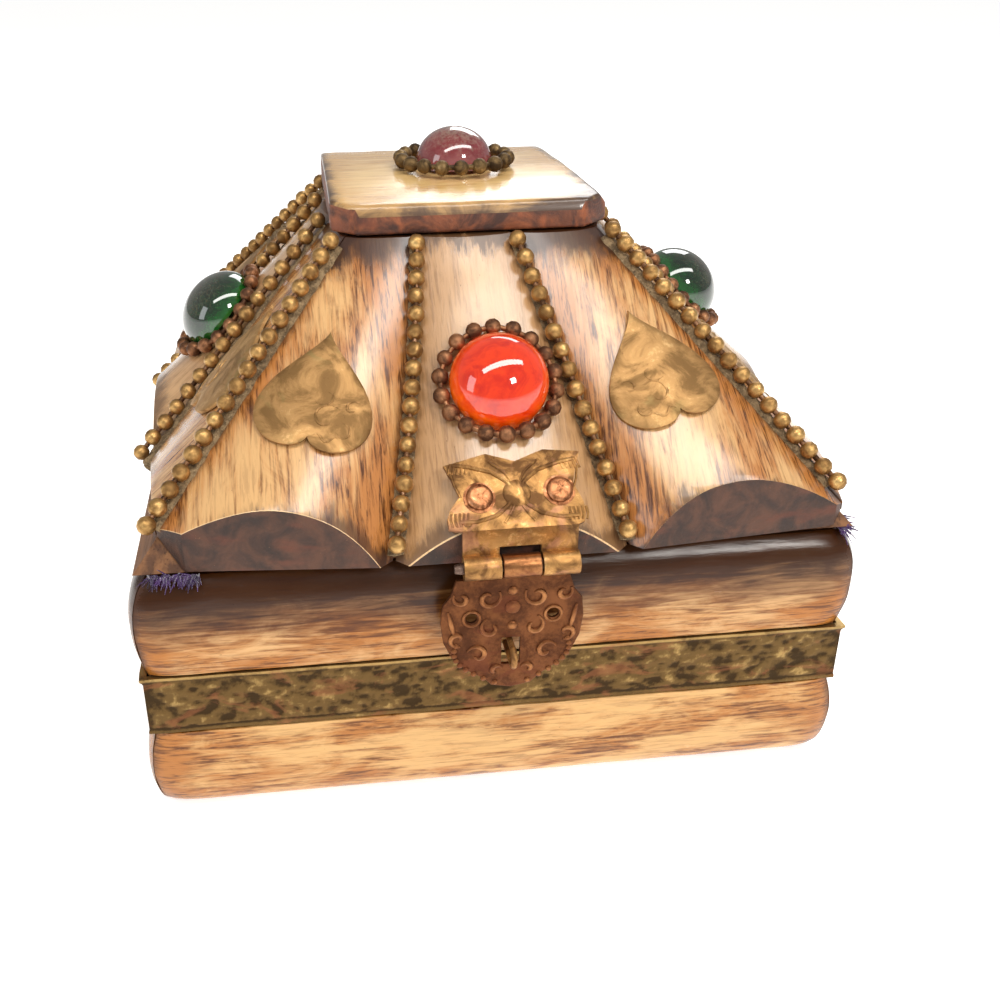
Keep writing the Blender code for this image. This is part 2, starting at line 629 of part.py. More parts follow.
def scalloped(top, bottom, half_width):
    """The lower leaf's outline as (x, z): rounded sides and a rounded foot."""
    points = [(-0.78, 0.0), (-0.86, 0.14), (-0.97, 0.22), (-1.0, 0.38), (-0.96, 0.55), (-0.84, 0.7)]
    points += [(-0.62, 0.82), (-0.4, 0.9), (-0.28, 0.97), (0.0, 1.0)]
    whole = points + [(-x, z) for x, z in points[-2::-1]]
    return [(LEAF_X + x * half_width, top + (bottom - top) * z) for x, z in whole]


def hasp_leaf(pivot):
    """The lower leaf: a hanging stamped plate with a slot for the staple, two holes and the centre barrel."""
    left, right = HASP_X - BARREL_HALF_W, HASP_X + BARREL_HALF_W
    top = HASP_PIN_Z - HASP_BARREL_R - GAP
    back = HASP_PIN_Y + LEAF_SET_BACK
    behind, before = back + SHEET, back - 2 * SHEET
    outline = [(x, back, z) for x, z in scalloped(top, LEAF_LOW, LEAF_HALF_W)]
    body = object_of("hasp_leaf", extruded(outline, (0, -SHEET, 0)), "copper_brass", pivot, False)
    tube = barrel(left, right, HASP_PIN_Y, HASP_PIN_Z, HASP_BARREL_R, HASP_PIN_R + HASP_PIN_CLEAR)
    combine(body, cutter("hasp_leaf_barrel", tube), "UNION")
    neck_top = HASP_PIN_Z - (HASP_PIN_R + HASP_PIN_CLEAR + HASP_BARREL_R) / 2
    neck = block((left, back - SHEET, top - GAP), (right, back, neck_top))
    combine(body, cutter("hasp_leaf_neck", neck), "UNION")
    slot = block(
        (STAPLE_X - LEAF_SLOT_HALF_W, before, STAPLE_Z - LEAF_SLOT_HALF_H),
        (STAPLE_X + LEAF_SLOT_HALF_W, behind, STAPLE_Z + LEAF_SLOT_HALF_H),
    )
    combine(body, cutter("hasp_leaf_slot", slot), "DIFFERENCE")
    for side, word in ((-1, "left"), (1, "right")):
        x = LEAF_X + side * LEAF_HOLE_X
        hole = rod((x, before, LEAF_HOLE_Z), (x, behind, LEAF_HOLE_Z), LEAF_HOLE_R, 10)
        combine(body, cutter(f"hasp_leaf_hole_{word}", hole), "DIFFERENCE")


def hasp_pin(lid):
    start = (HASP_X - HASP_HALF_W - 1.3 * MM, HASP_PIN_Y, HASP_PIN_Z)
    end = (HASP_X + HASP_HALF_W + 0.3 * MM, HASP_PIN_Y, HASP_PIN_Z)
    object_of("hasp_pin", rod(start, end, HASP_PIN_R), "rusty_steel", lid)


# ---------------------------------------------------------------- rear hinges


def rear_hinge(side, name, lid):
    """A butt hinge: the base leaf holds the pin in its outer knuckles, the lid leaf turns on it."""
    x = side * HINGE_X
    left, right = x - HINGE_HALF_W, x + HINGE_HALF_W
    third = HINGE_HALF_W * 2 / 3
    y, z = HINGE_AXIS_Y, HINGE_AXIS_Z
    base_y, lid_y = HINGE_BASE_Y, END_Y["back"] + GAP
    low_neck, high_neck = z - HINGE_NECK_OFF, z + HINGE_NECK_OFF

    base = object_of(
        f"rear_{name}_base_leaf",
        block((left, base_y, HINGE_LEAF_LOW), (right, base_y + HINGE_SHEET, z - HINGE_BARREL_R - GAP)),
        "aged_brass",
        smooth=False,
    )
    ends = {"left": (left, left + third - GAP), "right": (right - third + GAP, right)}
    for end, (x_low, x_high) in ends.items():
        knuckle = rod((x_low, y, z), (x_high, y, z), HINGE_BARREL_R, 14)
        neck = block((x_low, base_y, low_neck - HINGE_NECK), (x_high, y, low_neck + HINGE_PIN_R))
        combine(base, cutter(f"{name}_knuckle_{end}", knuckle), "UNION")
        combine(base, cutter(f"{name}_neck_{end}", neck), "UNION")
    pin = rod((left + MM, y, z), (right - MM, y, z), HINGE_PIN_R)
    combine(base, cutter(f"{name}_pin", pin), "UNION")

    lid_leaf = object_of(
        f"rear_{name}_lid_leaf",
        block((left, lid_y, z + HINGE_BARREL_R + GAP), (right, lid_y + HINGE_SHEET, HINGE_LEAF_HIGH)),
        "aged_brass",
        lid,
        smooth=False,
    )
    x_low, x_high = left + third, right - third
    bore = HINGE_PIN_R + HINGE_PIN_CLEAR
    neck = block((x_low, lid_y, high_neck), (x_high, y - bore, high_neck + HINGE_NECK))
    tube = barrel(x_low, x_high, y, z, HINGE_BARREL_R, bore)
    combine(lid_leaf, cutter(f"{name}_lid_neck", neck), "UNION")
    combine(lid_leaf, cutter(f"{name}_lid_knuckle", tube), "UNION")


def main():
    clear_scene()
    lid = bpy.data.objects.new("lid_axis", None)
    lid.location = (0, HINGE_AXIS_Y, HINGE_AXIS_Z)
    hasp = bpy.data.objects.new("hasp_axis", None)
    hasp.location = (HASP_X, HASP_PIN_Y, HASP_PIN_Z)
    for empty in (lid, hasp):
        bpy.context.scene.collection.objects.link(empty)

    base_box()
    base_lining()
    brass_band()
    lid_box(lid)
    lid_lining(lid)
    top_plate(lid)
    for face in FACES:
        moulding(face, "upper", UPPER_FACE)
        moulding(face, "lower", LOWER_FACE)
        for kind in ("left", "centre", "right"):
            bone_strip(face, kind, lid)
        for kind in ("left", "right"):
            heart(face, kind, lid)
        joint_chain(face, lid)
        hip_chain(face, lid)
        face_gem(face, "orange_glass" if face == "front" else "green_glass", lid)
    top_gem(lid)
    staple()
    hasp_plate(lid)
    hasp_pin(lid)
    hasp_leaf(hasp)
    rear_hinge(-1, "left_hinge", lid)
    rear_hinge(1, "right_hinge", lid)


main()
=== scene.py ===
"""Looks of the bone-veneered jewelry box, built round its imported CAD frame. Metres, front towards -Y."""

import math
import random

import bmesh
import bpy
from mathutils import Matrix, Vector, noise


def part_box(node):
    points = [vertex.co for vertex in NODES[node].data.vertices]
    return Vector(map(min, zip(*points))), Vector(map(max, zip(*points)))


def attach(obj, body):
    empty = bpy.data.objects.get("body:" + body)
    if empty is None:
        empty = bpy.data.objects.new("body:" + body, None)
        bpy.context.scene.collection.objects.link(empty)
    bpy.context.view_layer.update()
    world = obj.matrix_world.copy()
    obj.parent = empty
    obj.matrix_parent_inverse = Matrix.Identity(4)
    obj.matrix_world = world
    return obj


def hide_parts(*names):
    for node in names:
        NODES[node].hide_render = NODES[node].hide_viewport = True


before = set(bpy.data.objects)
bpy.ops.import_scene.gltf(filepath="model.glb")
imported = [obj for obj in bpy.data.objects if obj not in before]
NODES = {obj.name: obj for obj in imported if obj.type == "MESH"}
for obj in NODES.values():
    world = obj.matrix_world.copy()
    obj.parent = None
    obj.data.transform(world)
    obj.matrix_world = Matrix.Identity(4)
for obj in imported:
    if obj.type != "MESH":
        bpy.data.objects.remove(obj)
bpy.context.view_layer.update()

MM = 0.001
GAP = 0.3 * MM
FACES = {"front": 0, "right": 90, "back": 180, "left": 270}

# ---- the lid's shape, as the CAD part has it ----
RUN_PER_RISE = 0.905
PLANE_HALF, PLANE_Z = 51.5 * MM, 49.6 * MM
LID_LOW, STRIP_TOP = 43.0 * MM, 82.0 * MM
STRIP_FLOOR = -2.2 * MM
STRIP_FROM, STRIP_TO = -9 * MM, 58 * MM
JOINT_X_LOW, JOINT_X_HIGH = 17.8 * MM, 7.7 * MM
JOINT_LEAN_LOW, JOINT_LEAN_HIGH = 0.95 * MM, -1.3 * MM
JOINT_BOW = {-1: 0.9 * MM, 1: 0.2 * MM}
EDGE_RISE_LOW, EDGE_RISE_HIGH, HIP_EDGE_RISE = -1.3 * MM, -0.4 * MM, -1.3 * MM
BONE_RADIUS = {"left": 26.6 * MM, "centre": 26.6 * MM, "right": 24.5 * MM}
SIDE_BONE_FLATTER = {"front": 1.0, "right": 1.9, "back": 1.3, "left": 2.8}
STRIP_SEAM, HIP_SEAM = 0.2 * MM, 1.35 * MM
END_Y = {"front": 57.4 * MM, "right": 56.2 * MM, "back": 57.0 * MM, "left": 54.2 * MM}
END_LEAN = 0.1
CORNER_REACH = {"front": 101 * MM, "right": 105 * MM, "back": 103 * MM, "left": 103 * MM}
UP_SLOPE = Vector((0, RUN_PER_RISE, 1)).normalized()
OUTWARD = Vector((0, -1, RUN_PER_RISE)).normalized()
EAVE = Vector((0, -(PLANE_HALF + (PLANE_Z - LID_LOW) * RUN_PER_RISE), LID_LOW))
SLOPE_LENGTH = (STRIP_TOP - LID_LOW) / UP_SLOPE.z
FRONTWARD = Vector((0, -1, 0))

# ---- trim ----
BALL_R, LINK_R, ROW_OUT = 1.15 * MM, 0.38 * MM, 1.0 * MM
ROW_BEAD_R, HIP_BEAD_R, RING_BEAD_R = 1.4 * MM, 1.42 * MM, 1.32 * MM
ROW_BALLS, HIP_BALLS = {-1: 17, 1: 16}, 18
ROW_FIRST, ROW_LAST = 3.4 * MM, 51.1 * MM
HIP_FIRST, HIP_LAST = (51.6 * MM, 49.6 * MM), (22.4 * MM, 82.0 * MM)
RING_R, TOP_RING_R, RING_BALLS = 8.85 * MM, 9.1 * MM, 18
GEM_R, GEM_X, GEM_UP_SLOPE, GEM_SEAT = 7.5 * MM, 1.0 * MM, 26.8 * MM, 2.2 * MM
GEM_HEIGHT = {"front": 6.4 * MM, "right": 7.3 * MM, "back": 6.4 * MM, "left": 6.6 * MM}
TOP_GEM_R, TOP_GEM_HEIGHT, PLATE_CROWN = 6.5 * MM, 6.3 * MM, 88.4 * MM
HEART_W, HEART_H, HEART_THICK = 17.6 * MM, 19.7 * MM, 0.5 * MM
HEART_PLACES = {"left": (-25.9 * MM, 27.2 * MM, 15), "right": (25.3 * MM, 28.3 * MM, -17)}

# the cap's outline, in mm: its right side slants in towards the back and falls in above its edge
CAP_LEFT, CAP_RIGHT, CAP_HALF_DEPTH, CAP_EDGE = -22.2, 22.6, 21.5, 85.1
CAP_SLANT, CAP_SLANT_FROM, CAP_RIGHT_FALL = 0.04, -17, 0.85
CAP_SKIN_Z = 86.0 * MM

# ---- base ----
RAIL_INNER, RAIL_EASE, RAIL_MITRE = 52.6 * MM, 0.9 * MM, 0.2 * MM
UPPER_FACE = [(55.0, 25.8), (55.7, 29.5), (56.0, 33.5), (55.8, 37.0), (55.0, 39.8), (54.0, 41.3)]
UPPER_FACE += [(53.3, 42.0)]
LOWER_FACE = [(53.4, 0.4), (54.9, 2.0), (55.7, 4.8), (56.0, 8.0), (55.8, 11.6), (55.0, 15.0)]
BAND_LOW, BAND_HIGH, BAND_HALF, BAND_INNER = 15.3 * MM, 25.5 * MM, 55.0 * MM, 54.2 * MM

# ---- hasp ----
HASP_X, LEAF_X, STAPLE_X = 1.4 * MM, 0.35 * MM, 0.2 * MM
HASP_BEND, HASP_PLATE_SLOPE, SHEET = (-58.35 * MM, 49.1 * MM), math.radians(43), 0.7 * MM
LEAF_FACE_Y, LEAF_HOLE_X, LEAF_HOLE_Z = -59.7 * MM, 6.1 * MM, 35.0 * MM
STAPLE_Z, STAPLE_LOOP_R, STAPLE_WIRE_R, STAPLE_REACH = 28.9 * MM, 1.35 * MM, 0.5 * MM, 63.2 * MM


# ------------------------------------------------------------------ shader maths


class Value:
    """A socket of one finish's node tree; sums on it add Math nodes."""

    def __init__(self, finish, socket):
        self.finish, self.socket = finish, socket

    def sum(self, operation, *others):
        return self.finish.node("Math", {"operation": operation}, dict(enumerate(others)))

    def __add__(self, other):
        return self.sum("ADD", self, other)

    def __sub__(self, other):
        return self.sum("SUBTRACT", self, other)

    def __rsub__(self, other):
        return self.sum("SUBTRACT", other, self)

    def __mul__(self, other):
        return self.sum("MULTIPLY", self, other)

    def __truediv__(self, other):
        return self.sum("DIVIDE", self, other)

    __radd__, __rmul__ = __add__, __mul__


class Finish:
    """A material whose nodes are made by node(), with patterns measured in millimetres."""

    def __init__(self, name):
        self.material = bpy.data.materials.new(name)
        self.material.use_nodes = True
        self.tree = self.material.node_tree
        self.shader = self.tree.nodes["Principled BSDF"]

    def node(self, kind, settings=None, inputs=None, output=0):
        made = self.tree.nodes.new("ShaderNode" + kind)
        for key, setting in (settings or {}).items():
            if key == "stops":
                ramp = made.color_ramp.elements
                while len(ramp) < len(setting):
                    ramp.new(0.5)
                for element, (place, colour) in zip(ramp, setting):
                    element.position, element.color = place, (*colour, 1)
            else:
                setattr(made, key, setting)
        for key, value in (inputs or {}).items():
            self.feed(made.inputs[key], value)
        return Value(self, made.outputs[output])

    def feed(self, socket, value):
        if isinstance(value, Value):
            self.tree.links.new(value.socket, socket)
        elif socket.type == "RGBA":
            socket.default_value = (*value, 1)
        else:
            socket.default_value = value

    def set(self, **values):
        """Feeds the shader: names as on its sockets, with _ for a space."""
        for name, value in values.items():
            self.feed(self.shader.inputs[name.replace("_", " ")], value)
        return self

    def place(self, turn=(0, 0, 0)):
        """Object coordinates in millimetres, turned."""
        where = self.node("TexCoord", output="Object")
        inputs = {"Vector": where, "Rotation": turn, "Scale": (1000, 1000, 1000)}
        return self.node("Mapping", inputs=inputs)

    def own(self, name):
        """A vector kept on the mesh's vertices."""
        return self.node("Attribute", {"attribute_name": name}, output="Vector")

    def own_number(self, name):
        return self.node("Attribute", {"attribute_name": name}, output="Fac")

    def stretched(self, where, x, y, z):
        """Coordinates divided by a pattern's size along each axis."""
        inputs = {0: where, 1: (1 / x, 1 / y, 1 / z)}
        return self.node("VectorMath", {"operation": "MULTIPLY"}, inputs)

    def noise(self, where, size, detail=3.0, rough=0.55, twist=0.0):
        sizes = size if isinstance(size, tuple) else (size, size, size)
        inputs = {"Vector": self.stretched(where, *sizes), "Scale": 1.0}
        inputs |= {"Detail": detail, "Roughness": rough, "Distortion": twist}
        return self.node("TexNoise", inputs=inputs)

    def step(self, value, low, high):
        """0 below low, 1 above high, smooth between; low may be the larger."""
        inputs = {"Value": value, "From Min": low, "From Max": high}
        return self.node("MapRange", {"interpolation_type": "SMOOTHSTEP"}, inputs)

    def mix(self, share, one, two):
        inputs = {0: share, 6: one, 7: two}
        return self.node("Mix", {"data_type": "RGBA"}, inputs, output=2)

    def bump(self, height, depth, under=None):
        """A Bump node; depth is the height's full swing in metres."""
        inputs = {"Height": height, "Distance": depth, "Strength": 1.0}
        if under:
            inputs["Normal"] = under
        return self.node("Bump", inputs=inputs)


def srgb(red, green, blue):
    def linear(part):
        part /= 255
        return part / 12.92 if part <= 0.04045 else ((part + 0.055) / 1.055) ** 2.4

    return tuple(linear(part) for part in (red, green, blue))


# ------------------------------------------------------------------ finishes


def bone(
    name, pale, warm, burnt, streaks=1.0, patches=1.0, scorch=1.0,
    foot=0.0, head=0.0, painted_shade_heights=None, gloss=0.45,
):
    """Polished bone: fibres along the grain, stained streaks, patches and scorched margins.

    The mesh gives grain (across, along, seed in mm), margin (mm in from the nearest edge),
    from_low and from_high (mm in from the two ends). A pair of heights, if given, paints shading: the
    colour darkens upwards between them, then turns darkest.
    """
    f = Finish(name)
    grain = f.own("grain")
    margin = f.own_number("margin")
    low_end, high_end = f.own_number("from_low"), f.own_number("from_high")
    fibre = f.noise(grain, (0.42, 5.5, 3), 5, 0.62, 0.6)
    streak = f.noise(grain, (1.2, 16, 4), 5, 0.6, 1.0)
    broad = f.noise(grain, (8, 30, 9), 3, 0.5, 0.7)
    blotch = f.noise(grain, (4.5, 12, 9), 5, 0.62, 1.2)
    rag = (blotch - 0.5) * 9 + (fibre - 0.5) * 5
    edge = f.step(margin + rag, 7.5, 0.0) * 0.12
    cloud = f.step(broad * 0.45 + blotch * 0.35 + streak * 0.25 + edge, 0.46, 0.63)
    colour = f.mix(cloud * patches, pale, warm)
    fibres = f.step(fibre * 0.7 + streak * 0.3, 0.46, 0.61)
    colour = f.mix(fibres * (cloud * 0.72 + 0.2) * streaks, colour, burnt)
    # painted shading: the rail's colour darkens, then goes darkest, towards its top, where it curves up
    # into the shadow under the lid's eave
    if painted_shade_heights:
        level = low_end + rag * 0.45 + (streak - 0.5) * 9
        colour = f.mix(f.step(level, *painted_shade_heights) * 0.78, colour, burnt)
        painted_shade_top = f.step(level, painted_shade_heights[1] * 0.8, painted_shade_heights[1] * 1.3) * 0.95
        colour = f.mix(painted_shade_top, colour, tuple(part * 0.3 for part in burnt))
    scorched = f.step(margin + rag * 0.5, 2.4, -0.6) * (0.7 * scorch)
    if foot:
        scorched = scorched + f.step(low_end + rag, foot, foot * 0.2 - 0.5) * 0.7
    if head:
        scorched = scorched + f.step(high_end + rag, head, head * 0.2 - 0.5) * 0.85
    scorched = f.step(scorched, 0.0, 1.0)
    colour = f.mix(scorched, colour, tuple(part * 0.5 for part in burnt))
    specks = f.step(f.noise(grain, (0.35, 1.2, 0.5), 3, 0.6), 0.68, 0.76)
    colour = f.mix(specks * 0.55, colour, tuple(part * 0.3 for part in burnt))
    shine = f.noise(grain, (2, 9, 3), 4, 0.6)
    height = fibre * 0.6 + streak * 0.5 - specks * 0.5
    f.set(
        Base_Color=colour,
        Roughness=0.16 + shine * 0.16 + scorched * 0.12,
        Coat_Weight=gloss,
        Coat_Roughness=0.14,
        IOR=1.5,
        Specular_IOR_Level=0.3 + gloss * 0.5,
        Normal=f.bump(height, 0.00006),
    )
    return f


def sawn_end(name, colour, dark):
    """Charred, stained end faces."""
    f = Finish(name)
    where = f.place()
    cloud = f.noise(where, 4.5, 5, 0.6, 0.8)
    grit = f.noise(where, 0.45, 4, 0.7)
    red = f.step(f.noise(where, (7, 7, 2.5), 3, 0.5), 0.52, 0.72)
    tone = f.mix(f.step(cloud, 0.35, 0.68), dark, colour)
    tone = f.mix(red * 0.45, tone, srgb(108, 52, 30))
    tone = f.mix(f.step(grit, 0.66, 0.74) * 0.5, tone, srgb(150, 110, 78))
    f.set(Base_Color=tone, Roughness=0.42 + grit * 0.3, Normal=f.bump(grit + cloud, 0.00012))
    return f


def metal(name, light, mid, dark, size=3.0, rough=0.34, pits=0.5, metallic=1.0, tint=None):
    """Old sheet or cast metal: worn bright places, tarnish in clouds, and pits."""
    f = Finish(name)
    where = f.place()
    cloud = f.noise(where, size, 5, 0.62, 0.7)
    grit = f.noise(where, 0.5, 4, 0.65)
    colour = f.mix(f.step(cloud, 0.38, 0.56), dark, mid)
    colour = f.mix(f.step(cloud + (grit - 0.5) * 0.4, 0.56, 0.72), colour, light)
    if tint:
        stain = f.step(f.noise(where, size * 1.9, 4, 0.6, 1.2), 0.54, 0.66)
        colour = f.mix(stain * 0.65, colour, tint)
    pitted = f.step(grit, 0.60, 0.72) * pits
    colour = f.mix(pitted * 0.8, colour, tuple(part * 0.4 for part in dark))
    f.set(
        Base_Color=colour,
        Roughness=rough + (1 - f.step(cloud, 0.35, 0.7)) * 0.18 + pitted * 0.2,
        Metallic=metallic,
        Normal=f.bump(cloud * 0.6 - pitted * 0.5 + grit * 0.3, 0.00009),
    )
    return f


def relief_metal(name, light, mid, dark, tint, rough=0.36):
    """Embossed sheet: high places rubbed bright, hollows dark, by the mesh's relief (0 low, 1 high)."""
    f = Finish(name)
    where = f.place()
    raised = f.own_number("relief")
    cloud = f.noise(where, 6, 5, 0.62, 0.8)
    grit = f.noise(where, 0.5, 4, 0.65)
    level = raised * 0.8 + 0.1 + (cloud - 0.5) * 1.0 + (grit - 0.5) * 0.4
    colour = f.mix(f.step(level, 0.18, 0.5), dark, mid)
    colour = f.mix(f.step(level, 0.58, 0.95), colour, light)
    stain = f.step(f.noise(where, (9, 9, 4), 5, 0.6, 1.0), 0.54, 0.66)
    colour = f.mix(stain * 0.6, colour, tint)
    f.set(
        Base_Color=colour,
        Roughness=rough + (1 - f.step(level, 0.2, 0.8)) * 0.25,
        Metallic=0.9,
        Normal=f.bump(cloud * 0.5 + grit * 0.35, 0.0001),
    )
    return f


def glass(name, deep, mid, bright, dusty=0.0, painted_glow=0.0):
    """A cast glass cabochon, painted deeper at its top and brighter towards its foot where light gathers
    through the dome, with a film of dust on top; its emission is painted light.
    """
    f = Finish(name)
    level = f.own_number("level")
    where = f.place()
    swirl = f.noise(where, 4.2, 4, 0.6, 1.3)
    fleck = f.noise(where, 0.7, 5, 0.7)
    # painted light: the colour runs deeper towards the dome's top and brighter towards its foot, where
    # light gathered through the glass shows
    colour = f.mix(f.step(swirl + (1 - level) * 0.35, 0.38, 0.72), deep, mid)
    colour = f.mix(f.step((1 - level) + (swirl - 0.5) * 0.8, 0.45, 1.0), colour, bright)
    film = f.step(fleck * 0.7 + level * 0.35, 0.48, 0.78) * dusty
    colour = f.mix(film, colour, srgb(176, 160, 138))
    f.set(
        Base_Color=colour,
        Roughness=0.06 + film * 0.55,
        Coat_Weight=1.0,
        Coat_Roughness=0.03,
        IOR=1.5,
        Specular_IOR_Level=0.6,
        Subsurface_Weight=0.25,
        Subsurface_Radius=(0.004, 0.0015, 0.0008),
        # painted light: emission makes the stone shine as if lit from within
        Emission_Color=colour,
        Emission_Strength=painted_glow,
    )
    return f


def velvet_finish():
    f = Finish("purple velvet")
    where = f.place()
    nap = f.noise(where, (2.2, 2.2, 5), 4, 0.6, 0.5)
    pile = f.noise(where, 0.28, 3, 0.7)
    colour = f.mix(f.step(nap + (pile - 0.5) * 0.5, 0.3, 0.7), srgb(38, 18, 58), srgb(92, 52, 124))
    f.set(
        Base_Color=colour,
        Roughness=0.92,
        Sheen_Weight=0.8,
        Sheen_Roughness=0.4,
        Normal=f.bump(pile + nap * 0.5, 0.0002),
    )
    return f


def wood_finish():
    f = Finish("stained wood")
    where = f.place()
    rings = f.noise(where, (2.2, 30, 2.2), 5, 0.6, 0.7)
    pore = f.noise(where, (0.4, 6, 0.4), 3, 0.6)
    colour = f.mix(f.step(rings, 0.35, 0.65), srgb(84, 52, 30), srgb(134, 90, 54))
    colour = f.mix(f.step(pore, 0.58, 0.7) * 0.7, colour, srgb(44, 26, 16))
    f.set(Base_Color=colour, Roughness=0.6 + pore * 0.25, Normal=f.bump(rings + pore, 0.0001))
    return f


def grout_finish():
    f = Finish("old glue and grime")
    where = f.place()
    lump = f.noise(where, 1.4, 5, 0.65, 0.5)
    grit = f.noise(where, 0.35, 4, 0.7)
    colour = f.mix(f.step(lump, 0.35, 0.65), srgb(98, 78, 52), srgb(156, 130, 94))
    colour = f.mix(f.step(grit, 0.56, 0.7) * 0.6, colour, srgb(200, 176, 140))
    colour = f.mix(f.step(grit, 0.44, 0.34) * 0.7, colour, srgb(46, 36, 26))
    f.set(Base_Color=colour, Roughness=0.7 + grit * 0.2, Normal=f.bump(lump + grit, 0.0003))
    return f


def floor_finish():
    f = Finish("pale backdrop")
    soft = f.noise(f.place(), 60, 3, 0.5)
    colour = f.mix(soft * 0.3, srgb(240, 239, 237), srgb(232, 231, 229))
    f.set(Base_Color=colour, Roughness=0.7, Emission_Color=(1, 1, 1), Emission_Strength=0.66)
    return f


SIDE_BONE = bone(
    "side bone", srgb(218, 172, 116), srgb(184, 120, 64), srgb(82, 44, 20), 1.1, 1.0, 1.2, foot=3, head=6
)
CENTRE_BONE = bone(
    "centre bone", srgb(202, 160, 114), srgb(176, 132, 88), srgb(120, 82, 52), 0.5, 0.6, 0.7,
    foot=4, head=3,
)
# the upper rail's darkening towards its top is painted shading under the lid's eave
UPPER_BONE = bone(
    "upper rail bone", srgb(212, 166, 112), srgb(176, 110, 46), srgb(92, 48, 14), 1.0, 1.0, 1.2,
    painted_shade_heights=(2.5, 9.5), gloss=0.05,
)
LOWER_BONE = bone(
    "lower rail bone", srgb(214, 168, 108), srgb(176, 112, 50), srgb(96, 52, 14), 1.15, 1.0, 0.9,
    gloss=0.15,
)
CAP_BONE = bone(
    "cap bone", srgb(232, 194, 132), srgb(208, 158, 94), srgb(104, 72, 50), 0.4, 0.7, 1.3, foot=13
)
ARRIS = bone("worn arris", srgb(232, 196, 148), srgb(206, 158, 106), srgb(140, 92, 56), 0.6, 0.3, 0.0)
END_FACE = sawn_end("charred end", srgb(86, 52, 34), srgb(44, 27, 19))
CAP_FRONT = sawn_end("red-brown edge", srgb(150, 82, 46), srgb(62, 34, 24))
BALL_BRASS = metal(
    "bead brass", srgb(222, 184, 120), srgb(184, 144, 88), srgb(134, 100, 58), 2.6, 0.36, 0.2, 0.85
)
LINK_COPPER = metal(
    "link copper", srgb(176, 138, 108), srgb(130, 96, 70), srgb(76, 54, 38), 1.5, 0.46, 0.3
)
CHAIN_METALS = (BALL_BRASS, LINK_COPPER)
RING_COPPER = metal(
    "collar copper", srgb(190, 142, 102), srgb(146, 100, 68), srgb(90, 60, 42), 2.4, 0.42, 0.3, 0.8
)
TOP_RING = metal(
    "dusty collar", srgb(160, 134, 92), srgb(116, 92, 58), srgb(66, 50, 32), 2.2, 0.5, 0.45, 0.75
)
HEART_BRASS = metal(
    "heart brass", srgb(212, 172, 116), srgb(184, 142, 90), srgb(138, 104, 62), 5.5, 0.46, 0.3, 0.75,
    tint=srgb(156, 134, 84),
)
HASP_BRASS = metal(
    "hasp brass", srgb(222, 178, 114), srgb(178, 132, 78), srgb(110, 76, 44), 3.6, 0.38, 0.35, 0.85,
    tint=srgb(182, 130, 98),
)
LEAF_METAL = relief_metal(
    "leaf copper brass", srgb(170, 116, 72), srgb(120, 74, 44), srgb(82, 48, 30), srgb(104, 56, 38), 0.36
)
BAND_METAL = relief_metal(
    "band brass", srgb(166, 136, 84), srgb(104, 80, 46), srgb(64, 48, 28), srgb(138, 88, 58), 0.34
)
RIVET = metal("rivet copper", srgb(222, 168, 126), srgb(184, 124, 84), srgb(112, 70, 46), 1.6, 0.34, 0.3)
STEEL = metal(
    "corroded pin", srgb(170, 150, 140), srgb(120, 98, 86), srgb(66, 46, 36), 1.2, 0.5, 0.7, 0.8
)
# the third colour of each stone is painted light gathered at its foot; the last number is its painted
# emission
ORANGE = glass("orange glass", srgb(188, 30, 0), srgb(216, 52, 2), srgb(244, 100, 10), 0.0, 0.18)
GREEN = glass("green glass", srgb(5, 22, 10), srgb(10, 40, 16), srgb(18, 88, 28), 0.12, 0.02)
RED = glass("red glass", srgb(96, 12, 20), srgb(120, 40, 44), srgb(158, 92, 90), 0.35, 0.02)
VELVET, WOOD, GROUT, FLOOR = velvet_finish(), wood_finish(), grout_finish(), floor_finish()


# ------------------------------------------------------------------ shaping


def turned_to(face):
    return Matrix.Rotation(math.radians(FACES[face]), 4, "Z")


def on_face(x, up, out):
    return EAVE + Vector((x, 0, 0)) + UP_SLOPE * up + OUTWARD * out


def face_place(point):
    """(x, up, out) of a point on the front lid face: on_face turned round."""
    offset = point - EAVE
    return point.x, offset.dot(UP_SLOPE), offset.dot(OUTWARD)


def between(low, high, up):
    return low + (high - low) * up / SLOPE_LENGTH


def lid_half(z):
    return PLANE_HALF + (PLANE_Z - z) * RUN_PER_RISE


def joint_x(side, up):
    lean = between(JOINT_LEAN_LOW, JOINT_LEAN_HIGH, up)
    t = min(max(up / SLOPE_LENGTH, 0), 1)
    return side * between(JOINT_X_LOW, JOINT_X_HIGH, up) + lean + JOINT_BOW[side] * 4 * t * (1 - t)


def strip_edges(kind, up):
    joint_rise = between(EDGE_RISE_LOW, EDGE_RISE_HIGH, up)
    if kind == "centre":
        return (joint_x(-1, up) + STRIP_SEAM, joint_rise), (joint_x(1, up) - STRIP_SEAM, joint_rise)
    side = -1 if kind == "left" else 1
    near = (joint_x(side, up) + side * STRIP_SEAM, joint_rise)
    far = (side * (lid_half((EAVE + UP_SLOPE * up).z) - HIP_SEAM), HIP_EDGE_RISE)
    return (far, near) if side < 0 else (near, far)


def strip_rise(face, kind, x, up):
    (x0, out0), (x1, out1) = strip_edges(kind, up)
    width = x1 - x0
    t = min(max((x - x0) / width, 0), 1)
    radius = BONE_RADIUS[kind] * (1 if kind == "centre" else SIDE_BONE_FLATTER[face])
    sagitta = radius - math.sqrt(radius**2 - width**2 / 4)
    return out0 + (out1 - out0) * t + sagitta * 4 * t * (1 - t)


